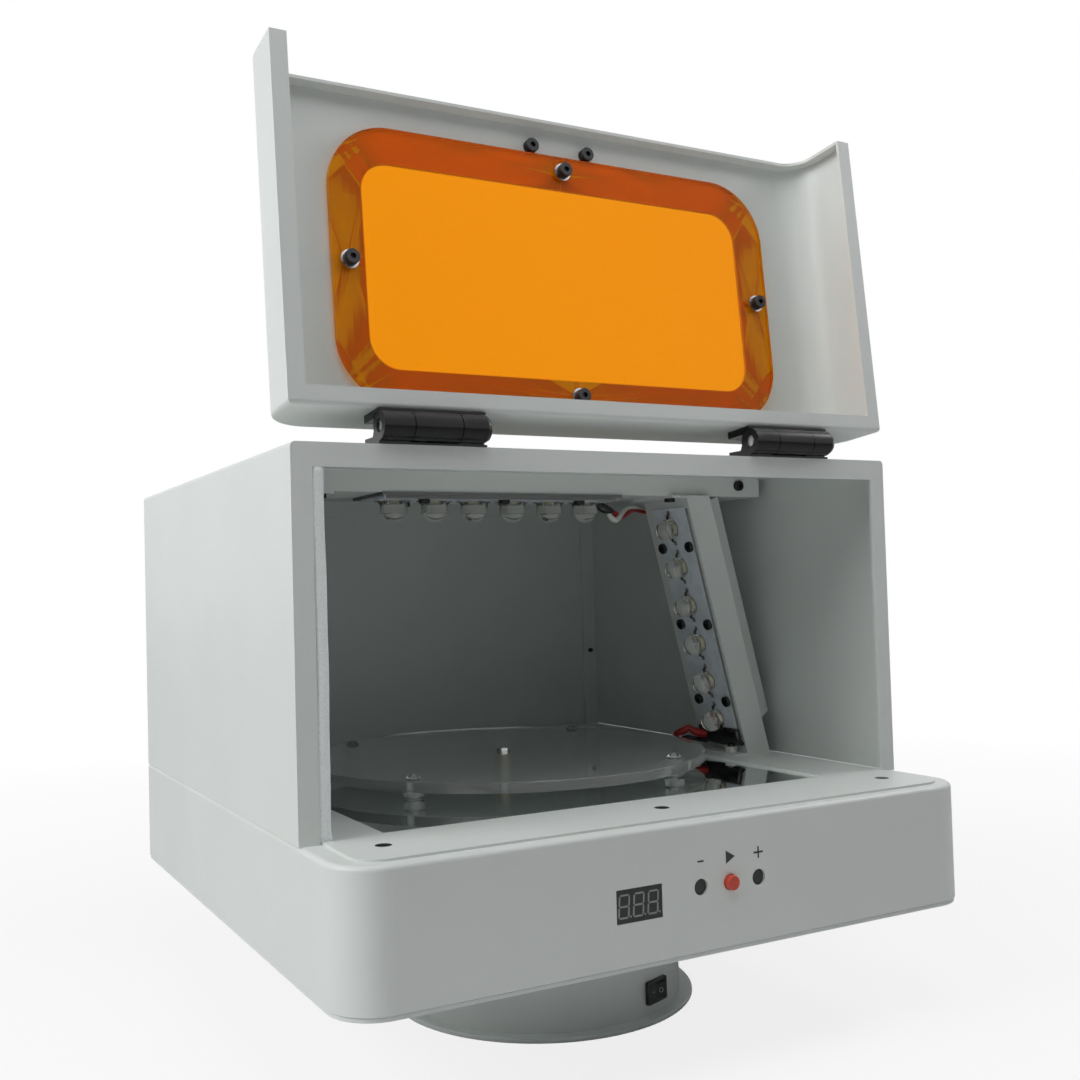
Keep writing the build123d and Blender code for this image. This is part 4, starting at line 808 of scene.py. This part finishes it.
@dataclass
class Wiring:
    """The wires between the boards and down to the base, with their tape and sleeves."""

    finishes: dict[str, bpy.types.Material]
    tape_width: float = 35.0 * MM
    tape_low: float = -71.4 * MM
    tape_high: float = -61.8 * MM
    tape_height: float = 4.4 * MM
    tape_least: float = 0.02 * MM
    tape_sag: float = 0.9 * MM
    tape_stuck: float = 0.42
    tape_slack: float = 0.2
    tape_swell: float = 0.2025 * MM
    tape_folds: tuple[tuple[float, float, float], ...] = ((11.0, 1.7, 1.0), (29.0, -2.3, 0.6))
    tape_steps: int = 40
    tape_section: Outline = (
        (0.0, 0.05), (-0.03, 0.55), (0.08, 0.95), (0.35, 1.06), (0.6, 1.0), (0.88, 0.92), (1.0, 0.62),
        (1.0, 0.44), (0.6, 0.42), (0.3, 0.43))

    def build(self) -> None:
        """Make every wire, sleeve and tape."""
        self.build_bar_tape()
        self.build_run(
            "red_bar_lead", "red_supply_wire", "wire_red",
            ((127.4, 18.5, 119.6, 2.1), (125.2, 23.5, 119.9, 2.3), (122.8, 26.4, 121.0, 2.3),
             (120.6, 28.4, 123.0, 1.6), (118.6, 30.4, 121.2, 2.2), (116.2, 34.0, 119.2, 1.9),
             (120.2, 43.0, 114.4, 1.3), (125.0, 48.0, 110.8, 1.0), (125.0, 48.0, 99.0, 0.9),
             (107.0, 62.0, 74.0, 0.9), (107.0, 79.0, 67.2, 0.9), (107.0, 87.0, 67.1, 0.9)))
        self.build_run(
            "black_bar_lead", "black_supply_wire", "wire_black",
            ((127.4, 20.5, 115.6, 1.3), (125.0, 27.0, 116.2, 1.3), (121.8, 32.0, 117.0, 1.2),
             (120.6, 38.0, 115.0, 1.2), (123.0, 44.5, 112.8, 1.1), (127.0, 48.4, 110.2, 1.0),
             (127.0, 48.2, 99.0, 0.9), (113.0, 62.0, 74.0, 0.9), (113.0, 79.0, 67.2, 0.9),
             (113.0, 87.0, 67.1, 0.9)))
        self.build_run(
            "red_link_lead", "red_link_wire", "wire_red",
            ((56.0, 13.6, 252.4, 1.2), (59.4, 14.0, 251.2, 1.7), (63.2, 14.6, 248.8, 1.9),
             (67.4, 15.6, 247.3, 1.9), (72.0, 18.0, 248.0, 1.7), (79.0, 23.0, 250.3, 1.4),
             (88.0, 30.5, 251.8, 1.1), (96.0, 35.4, 251.6, 1.0), (101.0, 33.8, 250.6, 1.0)))
        self.build_run(
            "white_link_lead", "white_link_wire", "wire_white",
            ((56.4, 12.6, 251.0, 1.0), (58.2, 12.4, 249.0, 1.4), (60.0, 12.2, 246.2, 1.6),
             (62.8, 12.4, 245.0, 1.6), (66.0, 13.0, 246.8, 1.5), (69.6, 15.0, 249.6, 1.3),
             (77.0, 20.6, 252.4, 1.0), (87.0, 28.8, 253.6, 1.0), (96.0, 36.4, 253.4, 1.0),
             (101.5, 34.6, 252.6, 1.0)))
        self.build_run(
            "link_tape", None, "wrapped_tape",
            ((49.6, 11.8, 253.6, 0.8), (51.6, 11.8, 253.0, 2.1), (54.6, 11.8, 251.7, 2.6),
             (57.8, 12.2, 250.6, 2.4), (60.6, 13.0, 250.0, 1.9), (61.6, 13.4, 249.8, 1.1)))

    def build_run(self, name: str, node: str | None, finish: str,
                  stations: Sequence[Sequence[float]]) -> None:
        """Make one wire or sleeve.

        Args:
            name: The piece's name.
            node: The plain wire that it stands for, if any.
            finish: The finish's name.
            stations: Its points and its radius at each, in millimetres.
        """
        mesh = bmesh.new()
        sweep_tube(mesh, in_metres(stations))
        piece = lay_piece(name, mesh, self.finishes[finish], Body.CABINET, smooth=True)
        if node:
            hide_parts(node)

    def tape_point(self, along: float, place: int, x: float, z: float) -> Vector:
        """One point of the crumpled tape.

        Args:
            along: How far along the tape it is, from 0 to 1.
            place: Its number round the section.
            x: Its share of the tape's width up the bar.
            z: Its share of the tape's height off the bar.

        Returns:
            The point in the bar's frame.
        """
        lower, loose = place < 3, 1 < place < 7
        slack = 1.0 if along > self.tape_stuck else self.tape_slack
        sag = self.tape_sag * math.sin(math.pi * along) ** 2 * slack if lower else 0.0
        fold = sum(size * math.sin(pace * along + lag * place) for pace, lag, size in self.tape_folds)
        swell = self.tape_swell * fold if loose else 0.0
        up = self.tape_low + x * (self.tape_high - self.tape_low) - sag + 0.5 * swell
        across = (along - 0.5) * self.tape_width + 0.4 * swell
        height = max(self.tape_least, z * self.tape_height + swell * (0.6 if lower else 1.0))
        return Vector((up, across, height))

    def build_bar_tape(self) -> None:
        """Make the crumpled tape over the connector at the bar's foot."""
        low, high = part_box("side_led_board")
        face = facing((low + high) / 2 - BAR_OUT * BOARD_THICKNESS / 2, BAR_UP, BAR_OUT)
        mesh = bmesh.new()
        rings = []
        for step in range(self.tape_steps + 1):
            along = step / self.tape_steps
            rings.append([
                mesh.verts.new(face @ self.tape_point(along, place, x, z))
                for place, (x, z) in enumerate(self.tape_section)])
        close_rings(mesh, rings)
        piece = lay_piece("bar_tape", mesh, self.finishes["wrapped_tape"], Body.CABINET,
                          smooth=True)
        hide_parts("side_bar_connector")


@dataclass
class JambSeal:
    """The foam strip on the left jamb, pressed on by hand and a little wavy."""

    finishes: dict[str, bpy.types.Material]
    widening: float = 2.3 * MM
    steps: int = 60
    sides: int = 10
    squareness: float = 0.5
    waves: tuple[tuple[float, float], ...] = ((0.25 * MM, 150 * MM), (0.075 * MM, 41 * MM))
    foot_height: float = 4 * MM
    foot_spread: float = 0.8 * MM

    def build(self) -> None:
        """Make the strip in place of the plain one."""
        low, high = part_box("jamb_seal")
        mesh = bmesh.new()
        rings = []
        for step in range(self.steps + 1):
            z = low.z + (high.z - low.z) * step / self.steps
            sway = sum(size * math.sin(math.tau * z / length) for size, length in self.waves)
            foot = max(0.0, 1.0 - (z - low.z) / self.foot_height) * self.foot_spread
            centre = Vector(((low.x + high.x + self.widening) / 2 + sway, (low.y + high.y) / 2, z))
            half_x, half_y = (high.x - low.x + self.widening) / 2 + foot, (high.y - low.y) / 2
            ring = []
            for side in range(self.sides):
                turn = math.tau * side / self.sides
                x, y = (math.copysign(abs(part) ** self.squareness, part)
                        for part in (math.cos(turn), math.sin(turn)))
                ring.append(mesh.verts.new(centre + Vector((x * half_x, y * half_y, 0))))
            rings.append(ring)
        close_rings(mesh, rings)
        piece = lay_piece("foam_seal", mesh, self.finishes["white_foam"], Body.CABINET, smooth=True)
        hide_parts("jamb_seal")


# Studio


@dataclass(frozen=True)
class SoftBox:
    """A round soft light aimed at the chamber."""

    name: str
    azimuth: float
    elevation: float
    distance: float
    size: float
    watts: float

    def build(self, target: Vector) -> None:
        """Make the light.

        Args:
            target: The point that it faces.
        """
        azimuth, elevation = math.radians(self.azimuth), math.radians(self.elevation)
        away = Vector((math.sin(azimuth) * math.cos(elevation), -math.cos(azimuth) * math.cos(elevation),
                       math.sin(elevation)))
        data = bpy.data.lights.new(self.name, "AREA")
        data.shape, data.size, data.energy = "DISK", self.size, self.watts
        lamp = bpy.data.objects.new(self.name, data)
        lamp.location = target + away * self.distance
        lamp.rotation_mode = "QUATERNION"
        lamp.rotation_quaternion = (-away).to_track_quat("-Z", "Y")
        bpy.context.scene.collection.objects.link(lamp)


@dataclass
class Studio:
    """The floor, the soft lights and the camera at the photograph's place."""

    lens: float = 39.92
    shift: tuple[float, float] = (0.033, 0.0076)
    position: tuple[float, float, float] = (-0.30835, -0.5513, 0.2089)
    yaw: float = 28.025
    pitch: float = 1.878
    roll: float = 1.585
    sensor: float = 36.0
    clip: tuple[float, float] = (0.01, 50.0)
    floor_half: float = 6.0
    floor_sides: int = 64
    floor_drop: float = 0.2 * MM
    floor_grey: float = 0.85
    floor_roughness: float = 0.9
    fade_reach: tuple[float, float] = (0.15, 1.1)
    fade_least: float = 0.82
    ambient: float = 0.055
    target: tuple[float, float, float] = (0.0, 0.0, 0.2)
    lamps: tuple[SoftBox, ...] = (
        SoftBox("key", azimuth=-95.0, elevation=30.0, distance=2.2, size=1.2, watts=21.0),
        SoftBox("key_front", azimuth=-75.0, elevation=40.0, distance=2.2, size=1.2, watts=8.5),
        SoftBox("overhead", azimuth=-20.0, elevation=80.0, distance=2.2, size=1.4, watts=4.5),
        SoftBox("front_high", azimuth=-12.0, elevation=60.0, distance=0.9, size=0.5, watts=1.3),
        SoftBox("right_fill", azimuth=76.0, elevation=33.0, distance=1.0, size=0.4, watts=2.5),
    )

    def build_camera(self) -> None:
        """Make the camera from its yaw, pitch and roll."""
        yaw, pitch, roll = (math.radians(v) for v in (self.yaw, self.pitch, self.roll))
        forward = Vector((math.sin(yaw) * math.cos(pitch), math.cos(yaw) * math.cos(pitch), math.sin(pitch)))
        level = Vector((math.cos(yaw), -math.sin(yaw), 0))
        down = forward.cross(level)
        right = math.cos(roll) * level + math.sin(roll) * down
        below = -math.sin(roll) * level + math.cos(roll) * down
        data = bpy.data.cameras.new("camera")
        data.lens, data.sensor_width = self.lens, self.sensor
        data.shift_x, data.shift_y = self.shift
        data.clip_start, data.clip_end = self.clip
        camera = bpy.data.objects.new("camera", data)
        turn = Matrix((right, -below, -forward)).transposed().to_4x4()
        camera.matrix_world = Matrix.Translation(self.position) @ turn
        bpy.context.scene.collection.objects.link(camera)
        bpy.context.scene.camera = camera

    def build_world(self) -> None:
        """Make a white background that lights the object only a little."""
        world = bpy.data.worlds.new("studio")
        bpy.context.scene.world = world
        world.use_nodes = True
        nodes, links = world.node_tree.nodes, world.node_tree.links
        path = nodes.new("ShaderNodeLightPath")
        seen = path.outputs["Is Camera Ray"]
        for other in ("Is Glossy Ray", "Is Transmission Ray"):
            add = nodes.new("ShaderNodeMath")
            add.operation = "MAXIMUM"
            links.new(seen, add.inputs[0])
            links.new(path.outputs[other], add.inputs[1])
            seen = add.outputs["Value"]
        level = nodes.new("ShaderNodeMapRange")
        level.inputs["To Min"].default_value = self.ambient
        level.inputs["To Max"].default_value = 1.0
        links.new(seen, level.inputs["Value"])
        background = nodes["Background"]
        background.inputs["Color"].default_value = (1, 1, 1, 1)
        links.new(level.outputs["Result"], background.inputs["Strength"])

    def build_floor(self) -> None:
        """Make a pale floor that fades to the white background away from the object."""
        mesh = bmesh.new()
        bmesh.ops.create_circle(mesh, cap_ends=True, segments=self.floor_sides, radius=self.floor_half)
        data = bpy.data.meshes.new("floor")
        mesh.to_mesh(data)
        mesh.free()
        floor = bpy.data.objects.new("floor", data)
        floor.location.z = -self.floor_drop
        bpy.context.scene.collection.objects.link(floor)
        tree = Tree("pale_floor")
        grey = self.floor_grey
        tree.set(Base_Color=(grey, grey, grey, 1.0), Roughness=self.floor_roughness)
        path = tree.nodes.new("ShaderNodeLightPath")
        glow = tree.nodes.new("ShaderNodeEmission")
        glow.inputs["Strength"].default_value = 1.0
        distance = tree.nodes.new("ShaderNodeVectorMath")
        distance.operation = "LENGTH"
        tree.links.new(tree.place, distance.inputs[0])
        fade = tree.nodes.new("ShaderNodeMapRange")
        fade.inputs["From Min"].default_value, fade.inputs["From Max"].default_value = self.fade_reach
        fade.inputs["To Min"].default_value = self.fade_least
        fade.inputs["To Max"].default_value = 1.0
        tree.links.new(distance.outputs["Value"], fade.inputs["Value"])
        shown = tree.nodes.new("ShaderNodeMath")
        shown.operation = "MULTIPLY"
        tree.links.new(path.outputs["Is Camera Ray"], shown.inputs[0])
        tree.links.new(fade.outputs["Result"], shown.inputs[1])
        mix = tree.nodes.new("ShaderNodeMixShader")
        tree.links.new(shown.outputs["Value"], mix.inputs["Fac"])
        tree.links.new(tree.shader.outputs["BSDF"], mix.inputs[1])
        tree.links.new(glow.outputs["Emission"], mix.inputs[2])
        tree.links.new(mix.outputs["Shader"], tree.nodes["Material Output"].inputs["Surface"])
        data.materials.append(tree.material)

    def build(self) -> None:
        """Make the whole studio."""
        self.build_floor()
        for lamp in self.lamps:
            lamp.build(Vector(self.target))
        self.build_world()
        self.build_camera()


def main() -> None:
    """Dress the frame, add the trim and set up the studio."""
    logging.basicConfig(level=logging.INFO, format="%(name)s: %(message)s")
    bpy.context.scene.view_settings.view_transform = "Standard"
    finishes = {finish.name: finish.make() for finish in FINISHES}
    dress_nodes(finishes)
    FrontPanel(finishes).build()
    PowerRocker(finishes).build()
    LedBoards(finishes).build()
    Wiring(finishes).build()
    JambSeal(finishes).build()
    Studio().build()


if __name__ == "__main__":
    main()
